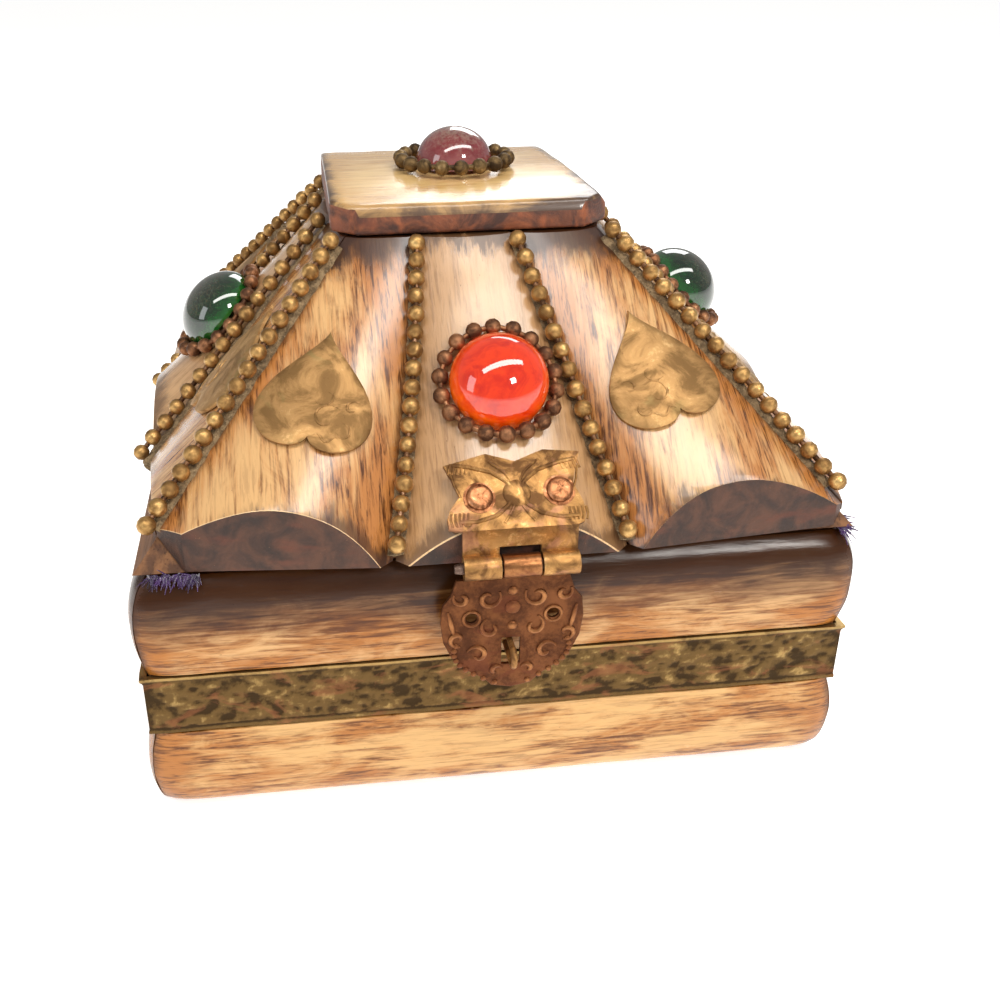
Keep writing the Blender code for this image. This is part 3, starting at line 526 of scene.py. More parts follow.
def piece(name, bm, body, finishes, replaces=(), crease=35, recalculate=True):
    """Makes a mesh a piece of the box, riding on a body."""
    if recalculate:
        bmesh.ops.recalc_face_normals(bm, faces=bm.faces)
    mesh = bpy.data.meshes.new(name)
    bm.to_mesh(mesh)
    bm.free()
    for finish in finishes:
        mesh.materials.append(finish.material)
    mesh.shade_smooth()
    mesh.set_sharp_from_angle(angle=math.radians(crease))
    made = bpy.data.objects.new(name, mesh)
    bpy.context.scene.collection.objects.link(made)
    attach(made, body)
    if replaces:
        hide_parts(*replaces)
    return made


def cut(bm, point, normal):
    """Removes what lies on the normal's side of a plane and closes the cut."""
    geometry = bm.verts[:] + bm.edges[:] + bm.faces[:]
    made = bmesh.ops.bisect_plane(
        bm, geom=geometry, plane_co=point, plane_no=normal, clear_outer=True, dist=1e-7
    )
    edges = [item for item in made["geom_cut"] if isinstance(item, bmesh.types.BMEdge)]
    return bmesh.ops.edgeloop_fill(bm, edges=edges)["faces"]


def backed(bm, move):
    """Gives an open skin a back: a copy of each vertex moved by move(point), joined round the rim."""
    back = bmesh.ops.duplicate(bm, geom=bm.faces[:])["geom"]
    for item in back:
        if isinstance(item, bmesh.types.BMVert):
            item.co = move(item.co)
    rims = [edge for edge in bm.edges if edge.is_boundary]
    bmesh.ops.bridge_loops(bm, edges=rims)


def soften(bm, edges, width, segments=2):
    bmesh.ops.bevel(
        bm, geom=edges, offset=width, segments=segments, profile=0.5, affect="EDGES", material=-1,
        clamp_overlap=True,
    )


def creased(bm, degrees=35):
    least = math.radians(degrees)
    return [edge for edge in bm.edges if edge.is_manifold and edge.calc_face_angle(0) > least]


def grid(across, along):
    """A flat skin of cells; each vertex's place is (0..1, 0..1)."""
    bm = bmesh.new()
    bmesh.ops.create_grid(bm, x_segments=across, y_segments=along, size=0.5)
    bmesh.ops.translate(bm, vec=(0.5, 0.5, 0), verts=bm.verts)
    return bm


def keep_on_vertices(bm, measure):
    """Stores (grain, margin, from_low, from_high) in millimetres, worked out for each vertex."""
    grain = bm.verts.layers.float_vector.new("grain")
    numbers = [bm.verts.layers.float.new(name) for name in ("margin", "from_low", "from_high")]
    for vert in bm.verts:
        vert[grain], *values = measure(vert.co)
        for layer, value in zip(numbers, values):
            vert[layer] = value


def wire(bm, points, radius, sides=8, flat=1.0, closed=False):
    """A round rod along points; flat squashes it on its second axis."""
    loops = []
    count = len(points)
    for i, point in enumerate(points):
        before = points[i - 1] if closed or i else point
        after = points[(i + 1) % count] if closed or i < count - 1 else point
        turn = (after - before).to_track_quat("Z", "Y").to_matrix().to_4x4()
        size = Matrix.Diagonal((1, flat, 1, 1))
        width = radius(i / max(count - 1, 1)) if callable(radius) else radius
        place = Matrix.Translation(point) @ turn @ size
        ring = bmesh.ops.create_circle(
            bm, cap_ends=False, segments=sides, radius=width, matrix=place
        )["verts"]
        loops.append(list(dict.fromkeys(edge for vert in ring for edge in vert.link_edges)))
    pairs = list(zip(loops, loops[1:]))
    if closed:
        pairs.append((loops[-1], loops[0]))
    for one, two in pairs:
        bmesh.ops.bridge_loops(bm, edges=one + two)
    if not closed:
        for loop in (loops[0], loops[-1]):
            bmesh.ops.edgeloop_fill(bm, edges=loop)


def turned_dome(radius, height, matrix, sides=48, rounds=14, rim=0.0):
    bm = bmesh.new()
    outline = [(0, 0), (radius, 0)]
    if rim:
        outline.append((radius, rim))
    for i in range(1 if rim else 0, rounds):
        angle = math.pi / 2 * i / rounds
        if rim or i:
            outline.append((radius * math.cos(angle), rim + (height - rim) * math.sin(angle)))
    outline.append((0, height))
    verts = [bm.verts.new((r, 0, z)) for r, z in outline]
    edges = [bm.edges.new(pair) for pair in zip(verts, verts[1:])]
    bmesh.ops.spin(
        bm, geom=verts + edges, cent=(0, 0, 0), axis=(0, 0, 1), angle=math.tau, steps=sides,
        use_merge=True,
    )
    bmesh.ops.remove_doubles(bm, verts=bm.verts, dist=1e-7)
    bmesh.ops.recalc_face_normals(bm, faces=bm.faces)
    bmesh.ops.transform(bm, matrix=matrix, verts=bm.verts)
    return bm


def added(bm, other):
    """Copies another bmesh into this one and frees it."""
    mesh = bpy.data.meshes.new("part")
    other.to_mesh(mesh)
    other.free()
    bm.from_mesh(mesh)
    bpy.data.meshes.remove(mesh)


# ------------------------------------------------------------------ lid bone


def worn(point, size, depth):
    """A hand-worked unevenness of the surface."""
    return noise.noise(point / (size * MM)) * depth * MM


def bone_slat(face, kind, number):
    bm = grid(30, 54)
    for vert in bm.verts:
        up = STRIP_FROM + (STRIP_TO - STRIP_FROM) * vert.co.y
        (x0, _), (x1, _) = strip_edges(kind, up)
        x = x0 + (x1 - x0) * vert.co.x
        out = strip_rise(face, kind, x, up)
        if kind == "centre" and math.hypot(x - GEM_X, up - GEM_UP_SLOPE) < GEM_R + GAP:
            out = min(out, GEM_SEAT)
        seed = Vector((x, up, number * 0.05))
        out += worn(seed, 9, 0.12) * math.sin(math.pi * vert.co.x)
        vert.co = on_face(x, up, out)
    backed(bm, lambda point: point - OUTWARD * (face_place(point)[2] - STRIP_FLOOR))
    side = {"left": -1, "centre": 0, "right": 1}[kind]
    lean = 0 if face == "back" else END_LEAN
    end_normal = Vector((side * lean, -1, 0)).normalized()
    cut(bm, (side * JOINT_X_LOW, -END_Y[face], 0), end_normal)
    cut(bm, (0, 0, LID_LOW + GAP), (0, 0, -1))
    cut(bm, (0, 0, STRIP_TOP), (0, 0, 1))
    if side:
        diagonal = Vector((side, 1, 0)).normalized()
        cut(bm, diagonal * GAP * -0.5, diagonal)
        corner = face if side < 0 else list(FACES)[(list(FACES).index(face) + 1) % 4]
        corner_normal = Vector((side, -1, 0)).normalized()
        cut(bm, (0, -CORNER_REACH[corner], 0), corner_normal)
    bmesh.ops.recalc_face_normals(bm, faces=bm.faces)
    turned = [end_normal] + ([corner_normal] if side else [])
    ends = [item for item in bm.faces if any(item.normal.dot(normal) > 0.9995 for normal in turned)]
    arris = []
    for edge in dict.fromkeys(edge for item in ends for edge in item.edges):
        others = [item for item in edge.link_faces if item not in ends]
        if others and others[0].normal.dot(OUTWARD) > 0.5:
            arris.append(edge)
    for item in ends:
        item.material_index = 1
    bmesh.ops.bevel(
        bm, geom=arris, offset=0.62 * MM, segments=3, profile=0.5, affect="EDGES", material=2,
        clamp_overlap=True,
    )
    offset = number * 37.0

    def measure(point):
        x, up, out = face_place(point)
        (x0, _), (x1, _) = strip_edges(kind, up)
        eave = (point.y + END_Y[face]) / MM
        margin = max(min(x - x0, x1 - x) / MM, 0)
        grain = Vector((x / MM, up / MM, offset))
        return grain, margin, max(eave, 0), (STRIP_TOP - point.z) / MM

    keep_on_vertices(bm, measure)
    bmesh.ops.transform(bm, matrix=turned_to(face), verts=bm.verts)
    main = CENTRE_BONE if kind == "centre" else SIDE_BONE
    finishes = (main, END_FACE, ARRIS)
    piece(f"{face}_{kind}_bone", bm, "lid", finishes, [f"{face}_{kind}_strip"], 28)


def smooth_face(outline, t):
    """A point on a smooth curve through an outline's points."""
    place = t * (len(outline) - 1)
    i = min(int(place), len(outline) - 2)
    s = place - i
    four = [Vector(outline[min(max(i + k, 0), len(outline) - 1)]) for k in (-1, 0, 1, 2)]
    a, b, c, d = four
    square = 2 * a - 5 * b + 4 * c - d
    cube = 3 * b - a - 3 * c + d
    return 0.5 * (2 * b + (c - a) * s + square * s * s + cube * s**3)


def bone_rail(face, name, outline, finish, number):
    bm = grid(72, 18)
    for vert in bm.verts:
        reach, z = smooth_face(outline, vert.co.y) * MM
        t = vert.co.x * 2 - 1
        back = (1 - abs(t)) * reach
        ease = RAIL_EASE * max(1 - back / (5 * MM), 0) ** 2
        seed = Vector((t * 0.055, z, number * 0.07))
        depth = reach - ease - abs(worn(seed, 12, 0.16)) - max(worn(seed, 3.2, 0.1), 0)
        vert.co = Vector((t * (depth - RAIL_MITRE), -depth, z))
    backed(bm, lambda point: Vector((math.copysign(min(abs(point.x), RAIL_INNER - RAIL_MITRE), point.x),
                                     -RAIL_INNER, point.z)))
    low, high = outline[0][1], outline[-1][1]

    def measure(point):
        t = point.x / MM
        end = (abs(point.y) - abs(point.x)) / MM
        grain = Vector((point.z / MM, t, number * 31.0))
        return grain, max(end, 0), point.z / MM - low, high - point.z / MM

    keep_on_vertices(bm, measure)
    bmesh.ops.transform(bm, matrix=turned_to(face), verts=bm.verts)
    piece(f"{face}_{name}_rail", bm, "base", (finish,), [f"{face}_{name}_moulding"], 40)


def cap_plate():
    """The slab on top: the CAD slab with worn, rounded edges and a slightly dished, hand-filed top."""
    bm = bmesh.new()
    bm.from_mesh(NODES["top_plate"].data)
    bmesh.ops.remove_doubles(bm, verts=bm.verts, dist=1e-6)
    bmesh.ops.dissolve_limit(bm, angle_limit=math.radians(1.5), verts=bm.verts, edges=bm.edges)
    upright = [edge for edge in creased(bm, 30)]
    soften(bm, upright, 0.55 * MM, 3)
    for item in bm.faces:
        item.normal_update()
    low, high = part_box("top_plate")
    for axis, places in ((0, 16), (1, 16)):
        for i in range(1, places):
            place = low.lerp(high, i / places)
            normal = Vector((0, 0, 0))
            normal[axis] = 1
            bmesh.ops.bisect_plane(
                bm, geom=bm.verts[:] + bm.edges[:] + bm.faces[:], plane_co=place, plane_no=normal,
                dist=1e-6,
            )
    for item in bm.faces:
        if item.normal.z < 0.4 and item.calc_center_median().z < CAP_SKIN_Z:
            item.material_index = 1
    for vert in bm.verts:
        if vert.co.z > CAP_SKIN_Z:
            vert.co.z -= abs(worn(vert.co, 7, 0.18))

    def measure(point):
        x, y = point.x / MM, point.y / MM
        right = CAP_RIGHT - x - (y - CAP_SLANT_FROM) * CAP_SLANT
        right -= max(point.z / MM - CAP_EDGE, 0) * CAP_RIGHT_FALL
        margin = min(x - CAP_LEFT, CAP_RIGHT - x, CAP_HALF_DEPTH - abs(y), right)
        corner = math.hypot(x - 20, (y + CAP_HALF_DEPTH) * 0.9)
        return Vector((y, x, 7.0)), max(margin, 0), corner, 20.0

    keep_on_vertices(bm, measure)
    piece("lid_cap", bm, "lid", (CAP_BONE, CAP_FRONT), ["top_plate"], 30)


# ------------------------------------------------------------------ beads


def beads(bm, points, radius, chance):
    for point in points:
        turn = Matrix.Rotation(chance.uniform(0, math.tau), 4, Vector((0.3, 0.4, 0.86)))
        size = radius * chance.uniform(0.96, 1.04)
        shift = Vector([chance.uniform(-0.06, 0.06) * MM for _ in range(3)])
        matrix = Matrix.Translation(point + shift) @ turn
        bmesh.ops.create_icosphere(bm, subdivisions=2, radius=size, matrix=matrix)


def links(bm, points, radius, closed=False):
    ends = list(zip(points, points[1:]))
    if closed:
        ends.append((points[-1], points[0]))
    before = set(bm.faces)
    for one, two in ends:
        axis = two - one
        matrix = Matrix.Translation((one + two) / 2) @ axis.to_track_quat("Z", "Y").to_matrix().to_4x4()
        bmesh.ops.create_cone(
            bm, cap_ends=True, segments=7, radius1=radius, radius2=radius, depth=axis.length,
            matrix=matrix,
        )
    for item in bm.faces:
        if item not in before:
            item.material_index = 1


def row_points(side):
    pitch = (ROW_LAST - ROW_FIRST) / (ROW_BALLS[side] - 1)
    ups = [ROW_FIRST + i * pitch for i in range(ROW_BALLS[side])]
    return [on_face(joint_x(side, up), up, ROW_OUT) for up in ups]


def bead_chains(face, chance):
    spin = turned_to(face)
    bm = bmesh.new()
    for side in (-1, 1):
        points = [spin @ point for point in row_points(side)]
        beads(bm, points, ROW_BEAD_R, chance)
        links(bm, points, LINK_R * 1.15)
    piece(f"{face}_joint_beads", bm, "lid", CHAIN_METALS, [f"{face}_joint_chain"], 60)
    low, high = (Vector((-half, -half, z)) for half, z in (HIP_FIRST, HIP_LAST))
    points = [spin @ low.lerp(high, i / (HIP_BALLS - 1)) for i in range(HIP_BALLS)]
    bm = bmesh.new()
    beads(bm, points, HIP_BEAD_R, chance)
    links(bm, points, LINK_R * 1.15)
    name = f"{face}_left_hip"
    piece(f"{name}_beads", bm, "lid", CHAIN_METALS, [f"{name}_chain"], 60)


def grout_seams(face, number):
    """Glue and grime that fill the valleys under the bead chains."""
    spin = turned_to(face)
    bm = bmesh.new()

    def ridge(centre, across, out, half_width, steps=90):
        part = grid(8, steps)
        for vert in part.verts:
            s = vert.co.x * 2 - 1
            point, height = centre(vert.co.y)
            rough = noise.noise(Vector((s * 1.3, vert.co.y * 46, number))) * 0.42 * MM
            rough += noise.noise(Vector((s * 3, vert.co.y * 120, number + 9))) * 0.2 * MM
            width = half_width * (1 + 0.3 * noise.noise(Vector((vert.co.y * 24, number, 3))))
            drop = (abs(s) ** 3) * 0.9 * MM
            vert.co = point + across * s * width + out * (height + rough * (1 - s * s * 0.5) - drop)
        backed(part, lambda point: point - out * 1.3 * MM)
        added(bm, part)

    for side in (-1, 1):
        def along_joint(t, side=side):
            up = 2.2 * MM + t * 49.2 * MM
            return on_face(joint_x(side, up), up, 0), -0.1 * MM

        ridge(along_joint, Vector((1, 0, 0)), OUTWARD, 1.7 * MM)
    low, high = (Vector((-half, -half, z)) for half, z in (HIP_FIRST, HIP_LAST))
    hip_out = Vector((-1, -1, 1.27)).normalized()

    def along_hip(t):
        return low.lerp(high, t), -1.0 * MM

    ridge(along_hip, Vector((1, -1, 0)).normalized(), hip_out, 1.05 * MM)
    bmesh.ops.transform(bm, matrix=spin, verts=bm.verts)
    piece(f"{face}_seam_grout", bm, "lid", (GROUT,), crease=60)


def collar(name, place, radius, finish, node, chance):
    points = [place(math.tau * i / RING_BALLS, radius) for i in range(RING_BALLS)]
    bm = bmesh.new()
    beads(bm, points, RING_BEAD_R, chance)
    links(bm, points, LINK_R * 1.15, closed=True)
    piece(name, bm, "lid", (finish, finish), [node], 60)


def gem(name, radius, height, matrix, finish, node):
    bm = turned_dome(radius, height, Matrix.Identity(4), 56, 16, 0.5 * MM)
    level = bm.verts.layers.float.new("level")
    for vert in bm.verts:
        vert[level] = vert.co.z / height
    bmesh.ops.transform(bm, matrix=matrix, verts=bm.verts)
    piece(name, bm, "lid", (finish,), [node], 50)


def face_stone(face, finish, chance):
    spin = turned_to(face)
    axes = Matrix((Vector((1, 0, 0)), UP_SLOPE, OUTWARD)).transposed().to_4x4()
    seat = on_face(GEM_X, GEM_UP_SLOPE, GEM_SEAT + GAP)
    matrix = spin @ Matrix.Translation(seat) @ axes
    gem(f"{face}_stone", GEM_R, GEM_HEIGHT[face], matrix, finish, f"{face}_gem")

    def place(angle, radius):
        x = GEM_X + radius * math.sin(angle)
        up = GEM_UP_SLOPE + radius * math.cos(angle)
        return spin @ on_face(x, up, strip_rise(face, "centre", x, up) + BALL_R + GAP)

    collar(f"{face}_collar", place, RING_R, RING_COPPER, f"{face}_gem_ring", chance)


# ------------------------------------------------------------------ hearts


def heart_outline(steps=72):
    points = []
    for i in range(steps):
        t = math.tau * i / steps
        x = 16 * math.sin(t) ** 3
        y = 12.6 * math.cos(t) - 3.2 * math.cos(2 * t) - 1.2 * math.cos(3 * t) - 0.4 * math.cos(4 * t)
        points.append((x / 32, -(y + 2.35) / 25.3))
    return points


def spiral(x, y, radius, turns, start, steps=18, shrink=0.25):
    points = []
    for i in range(steps + 1):
        t = i / steps
        angle = start + turns * math.tau * t
        r = radius * (1 - (1 - shrink) * t)
        points.append((x + r * math.cos(angle), y + r * math.sin(angle)))
    return points


def heart(face, kind, number):
    centre_x, centre_up, tilt = HEART_PLACES[kind]
    turn = Matrix.Rotation(math.radians(-tilt), 2)
    bm = bmesh.new()
    bm.faces.new([bm.verts.new((x * HEART_W, y * HEART_H, 0)) for x, y in heart_outline()])
    for axis, size in ((0, HEART_W), (1, HEART_H)):
        for part in range(-6, 7):
            place, normal = Vector((0, 0, 0)), Vector((0, 0, 0))
            place[axis], normal[axis] = part * size / 13, 1
            geometry = bm.verts[:] + bm.edges[:] + bm.faces[:]
            bmesh.ops.bisect_plane(bm, geom=geometry, plane_co=place, plane_no=normal, dist=1e-7)

    def lie(x, y, out):
        across, up = turn @ Vector((x, y)) + Vector((centre_x, centre_up))
        return on_face(across, up, strip_rise(face, kind, across, up) + GAP + out)

    for vert in bm.verts:
        x, y = vert.co.xy
        dent = noise.noise(Vector((x * 320, y * 320, number))) * 0.16 * MM
        rim = 0.0 if any(edge.is_boundary for edge in vert.link_edges) else 0.12 * MM
        vert.co = lie(x, y, max(dent + rim, 0))
    backed(bm, lambda point: point + OUTWARD * HEART_THICK)
    soften(bm, creased(bm, 50), 0.12 * MM, 1)
    strokes = [spiral(2.2, -4.6, 2.6, 0.9, 0.4), spiral(4.6, -6.4, 1.7, -0.8, 2.0)]
    strokes += [spiral(1.4, -1.0, 1.9, 0.7, 3.6)]
    strokes += [[(0.6 + 0.4 * i, -7.8 + 0.55 * math.sin(i * 0.9)) for i in range(12)]]
    strokes += [spiral(5.6, -2.2, 1.3, 0.75, 1.0)]
    for stroke in strokes:
        sign = 1 if kind == "left" else -1
        points = [lie(sign * x * MM, y * MM, HEART_THICK + 0.02 * MM) for x, y in stroke]
        wire(bm, points, lambda t: (0.1 + 0.16 * math.sin(math.pi * min(max(t, 0.04), 0.96))) * MM, 6)
    bmesh.ops.transform(bm, matrix=turned_to(face), verts=bm.verts)
    name = f"{face}_{kind}_heart"
    piece(f"{name}_leaf", bm, "lid", (HEART_BRASS,), [name], 40)


# ------------------------------------------------------------------ band


def embossing(u, v):
    """Height 0 to 1 of the band's stamped scrolls, u along and v across in mm from its middle."""
    scroll = math.sin(math.tau * (u / 7.3 + 0.12 * math.sin(v * 1.3))) * math.cos(v * 1.1)
    ridge = 1 - 2.6 * abs(noise.noise(Vector((u / 1.7, v / 1.0, 2.5))))
    leaf = 1 - 2.2 * abs(noise.noise(Vector((u / 3.4, v / 1.6, 8.5))))
    return min(max(0.2 + 0.2 * scroll + 0.35 * ridge + 0.25 * leaf, 0), 1)


def brass_band():
    bm = grid(300, 26)
    relief = bm.verts.layers.float.new("relief")
    for vert in bm.verts:
        z = BAND_LOW + (BAND_HIGH - BAND_LOW) * vert.co.y
        t = vert.co.x * 2 - 1
        u, v = t * 55.0, (z - (BAND_LOW + BAND_HIGH) / 2) / MM
        fade = min((1 - abs(t)) * 55 / 2.0, 1)
        field = 1 - min(max((abs(v) - 3.9) / 0.4, 0), 1)
        raised = embossing(u, v) * field * fade
        lip = min(max((v - 4.2) / 0.35, 0), 1)
        low_lip = min(max((-v - 4.3) / 0.3, 0), 1) * 0.6
        dent = noise.noise(Vector((u * 0.11, v * 0.3, 4))) * 0.22 * fade
        reach = BAND_HALF + (-0.22 + 0.34 * raised + 0.42 * lip + 0.2 * low_lip + dent) * MM
        vert[relief] = max(raised, lip * 0.95, low_lip)
        vert.co = Vector((t * reach, -reach, z))
    sides = [bm.faces[:]]
    for quarter in (1, 2, 3):
        made = bmesh.ops.duplicate(bm, geom=sides[0])["geom"]
        verts = [item for item in made if isinstance(item, bmesh.types.BMVert)]
        turn = Matrix.Rotation(math.pi / 2 * quarter, 3, "Z")
        bmesh.ops.rotate(bm, cent=(0, 0, 0), matrix=turn, verts=verts)
    bmesh.ops.remove_doubles(bm, verts=bm.verts, dist=1e-5)
    rims = [edge for edge in bm.edges if edge.is_boundary]
    made = bmesh.ops.duplicate(bm, geom=bm.faces[:])
    twins = made["vert_map"]
    for item in made["geom"]:
        if isinstance(item, bmesh.types.BMVert):
            reach = max(abs(item.co.x), abs(item.co.y))
            item.co.x *= BAND_INNER / reach
            item.co.y *= BAND_INNER / reach
    for edge in rims:
        one, two = edge.verts
        bm.faces.new((one, two, twins[two], twins[one]))
    piece("embossed_band", bm, "base", (BAND_METAL,), ["brass_band"], 50)


# ------------------------------------------------------------------ hasp


def merged_copy(node, dissolve=1.5):
    bm = bmesh.new()
    bm.from_mesh(NODES[node].data)
    bmesh.ops.remove_doubles(bm, verts=bm.verts, dist=1e-6)
    bmesh.ops.dissolve_limit(bm, angle_limit=math.radians(dissolve), verts=bm.verts, edges=bm.edges)
    return bm


def hasp_top():
    """The bent upper leaf: a stamped plate with a crossed relief, ribbed horns and two rivets."""
    bm = merged_copy("hasp_plate")
    soften(bm, creased(bm, 50), 0.13 * MM, 2)
    slope = Vector((0, math.cos(HASP_PLATE_SLOPE), math.sin(HASP_PLATE_SLOPE)))
    out = Vector((0, -slope.z, slope.y))

    def lie(x, up, rise=0.0):
        return Vector((HASP_X + x * MM, *HASP_BEND)) + slope * up * MM + out * (SHEET + rise * MM)

    def ribs(points, width, sides=8):
        wire(bm, [lie(x, up) for x, up in points], width * MM, sides)

    for sign in (-1, 1):
        upper_arm = [(0.2, 5.0), (1.4, 6.8), (3.4, 8.3), (6.6, 9.3), (8.9, 9.7)]
        lower_arm = [(0.2, 4.8), (1.5, 3.0), (3.2, 1.7), (6.2, 0.9), (8.6, 1.0)]
        for arm in (upper_arm, lower_arm):
            ribs([(sign * x, up) for x, up in arm], 0.34)
        ribs([(sign * 0.4, 6.4), (sign * 1.5, 8.2), (sign * 3.7, 10.0)], 0.22)
        ribs([(sign * 0.4, 3.4), (sign * 1.2, 1.9), (sign * 2.2, 0.5)], 0.22)
        for i in range(5):
            x = sign * (7.2 + i * 0.62)
            ribs([(x, 0.3), (x + sign * 0.25, 1.2), (x + sign * 0.1, 2.3)], 0.2, 6)
            ribs([(x, 8.2), (x - sign * 0.2, 9.0), (x - sign * 0.5, 9.9)], 0.17, 6)
        edge = [(sign * 8.2, 4.7), (sign * 8.9, 6.6), (sign * 9.3, 8.6)]
        ribs(edge, 0.2, 6)
    turns = [math.tau * i / 10 for i in range(10)]
    middle = [(0.35 * math.cos(turn), 4.9 + 0.5 * math.sin(turn)) for turn in turns]
    wire(bm, [lie(x, up, 0.05) for x, up in middle], 0.3 * MM, 6, closed=True)
    boss = Matrix.Translation(lie(0, 4.9, -0.05)) @ slope_turn(out)
    added(bm, turned_dome(2.1 * MM, 0.55 * MM, boss, 20, 5))
    piece("hasp_top_leaf", bm, "lid", (HASP_BRASS,), ["hasp_plate"], 40)
    for name, x, up in (("left", -5.5, 4.5), ("right", 6.2, 4.9)):
        turn = slope_turn(out)
        head, foot = (Matrix.Translation(lie(x, up, rise)) @ turn for rise in (0.2, -0.05))
        rivet = turned_dome(1.95 * MM, 0.95 * MM, head, 28, 7, 0.3 * MM)
        washer = turned_dome(2.35 * MM, 0.3 * MM, foot, 28, 3, 0.15 * MM)
        dish = [vert for vert in rivet.verts if (vert.co - lie(x, up, 1.15)).length < 0.9 * MM]
        for vert in dish:
            vert.co -= out * 0.16 * MM
        added(rivet, washer)
        piece(f"hasp_{name}_rivet", rivet, "lid", (RIVET,), crease=45)


def slope_turn(out):
    return out.to_track_quat("Z", "Y").to_matrix().to_4x4()


def hasp_leaf():
    """The hanging lower leaf with raised scrolls, rimmed holes and small raised knobs; its slot is left as
    the CAD leaf has it.
    """
    bm = merged_copy("hasp_leaf")
    soften(bm, creased(bm, 50), 0.12 * MM, 2)
    def lie(x, z, rise=0.0):
        return Vector((LEAF_X + x * MM, LEAF_FACE_Y - rise * MM, z * MM))

    def rib(points, width, rise=-0.03, closed=False, sides=8):
        wire(bm, [lie(x, z, rise) for x, z in points], width, sides, closed=closed)

    def taper(t):
        return (0.16 + 0.3 * math.sin(math.pi * min(max(t, 0.05), 0.95))) * MM

    for sign in (-1, 1):
        rib([(sign * x, z) for x, z in spiral(3.6, 38.4, 1.9, 0.95, 2.6)], taper)
        rib([(sign * x, z) for x, z in spiral(7.6, 38.6, 1.3, -0.9, 0.6)], taper)
        rib([(sign * x, z) for x, z in spiral(3.2, 33.2, 1.7, -0.85, 1.2)], taper)
        rib([(sign * x, z) for x, z in spiral(8.2, 31.6, 1.4, 0.9, 4.4)], taper)
        rib([(sign * x, z) for x, z in spiral(5.2, 28.6, 1.7, 0.85, 0.4)], taper)
        rib([(sign * x, z) for x, z in spiral(2.4, 25.6, 1.0, -0.7, 2.8)], taper)
        rib([(sign * (9.6 - 0.2 * i), 36.4 - 0.9 * i) for i in range(6)], taper)
        rim = [(sign * LEAF_HOLE_X / MM + 1.25 * math.cos(a), LEAF_HOLE_Z / MM + 1.25 * math.sin(a))
               for a in [math.tau * i / 18 for i in range(18)]]
        rib(rim, 0.26 * MM, 0.0, True)
        for i in range(9):
            t = i / 8
            x = 10.0 * math.sin(math.pi * (0.32 + 0.18 * t)) * (1 - 0.75 * t**2)
            knob = Matrix.Translation(lie(sign * x, 30.4 - 7.0 * t, -0.04)) @ slope_turn(FRONTWARD)
            added(bm, turned_dome(0.5 * MM, 0.32 * MM, knob, 10, 3))
    for x, z, size in ((0, 36.6, 1.2), (0, 39.4, 0.8), (0, 33.4, 0.8)):
        knob = Matrix.Translation(lie(x, z, -0.04)) @ slope_turn(FRONTWARD)
        added(bm, turned_dome(size * MM, 0.45 * MM, knob, 16, 4))
    relief = bm.verts.layers.float.new("relief")
    for vert in bm.verts:
        vert[relief] = 0.3 + 0.6 * min(max((LEAF_FACE_Y - vert.co.y) / (0.4 * MM), 0), 1)
    piece("hasp_hanging_leaf", bm, "hasp", (LEAF_METAL,), ["hasp_leaf"], 40)


def hasp_rod():
    low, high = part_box("hasp_pin")
    middle = (low + high) / 2
    steps = 24
    along = [low.x + (high.x - low.x) * i / steps for i in range(steps + 1)]
    points = [Vector((x, middle.y, middle.z)) for x in along]
    bm = bmesh.new()
    chance = random.Random(5)
    sizes = [0.85 * MM * chance.uniform(0.9, 0.985) for _ in points]
    sizes[0] = sizes[-1] = 0.62 * MM
    wire(bm, points, lambda t: sizes[round(t * steps)], 14)
    piece("hasp_rod", bm, "lid", (STEEL,), ["hasp_pin"], 45)


def hasp_loop():
    """The staple: one bent wire, its ends let into the front rail."""
    root_y, bend_y = -52.9 * MM, -(STAPLE_REACH - STAPLE_WIRE_R - STAPLE_LOOP_R)
    points = [Vector((STAPLE_X, root_y, STAPLE_Z - STAPLE_LOOP_R))]
    for step in range(13):
        turn = math.radians(-90 + 15 * step)
        z = STAPLE_Z + STAPLE_LOOP_R * math.sin(turn)
        points.append(Vector((STAPLE_X, bend_y - STAPLE_LOOP_R * math.cos(turn), z)))
    points.append(Vector((STAPLE_X, root_y, STAPLE_Z + STAPLE_LOOP_R)))
    bm = bmesh.new()
    wire(bm, points, STAPLE_WIRE_R, 12)
    piece("hasp_loop", bm, "base", (HASP_BRASS,), ["hasp_staple"], 50)


# ------------------------------------------------------------------ rear hinges


def screw(place, size=1.7 * MM):
    """A slotted screw head facing the back: a base disc and two half domes."""
    turn = Matrix.Translation(place) @ slope_turn(Vector((0, 1, 0)))
    bm = turned_dome(size, 0.3 * MM, turn, 22, 2, 0.15 * MM)
    for side in (-1, 1):
        half = turned_dome(size * 0.93, 0.75 * MM, Matrix.Identity(4), 22, 5, 0.2 * MM)
        cut(half, (side * 0.2 * MM, 0, 0), (-side, 0, 0))
        tilt = Matrix.Rotation(place.x * 40, 4, "Z")
        bmesh.ops.transform(half, matrix=turn @ tilt, verts=half.verts)
        added(bm, half)
    return bm


def rear_hinge(side, word):
    for part, z, leaf_y in (("base", 36.0 * MM, 56.95 * MM), ("lid", 47.4 * MM, 57.9 * MM)):
        node = f"rear_{word}_hinge_{part}_leaf"
        bm = merged_copy(node)
        soften(bm, creased(bm, 50), 0.12 * MM, 2)
        for offset in (-5.6, 0, 5.6):
            added(bm, screw(Vector((side * 30 * MM + offset * MM, leaf_y, z)), 1.35 * MM))
        piece(f"{node}_worked", bm, part, (HASP_BRASS,), [node], 40)


# ------------------------------------------------------------------ cloth


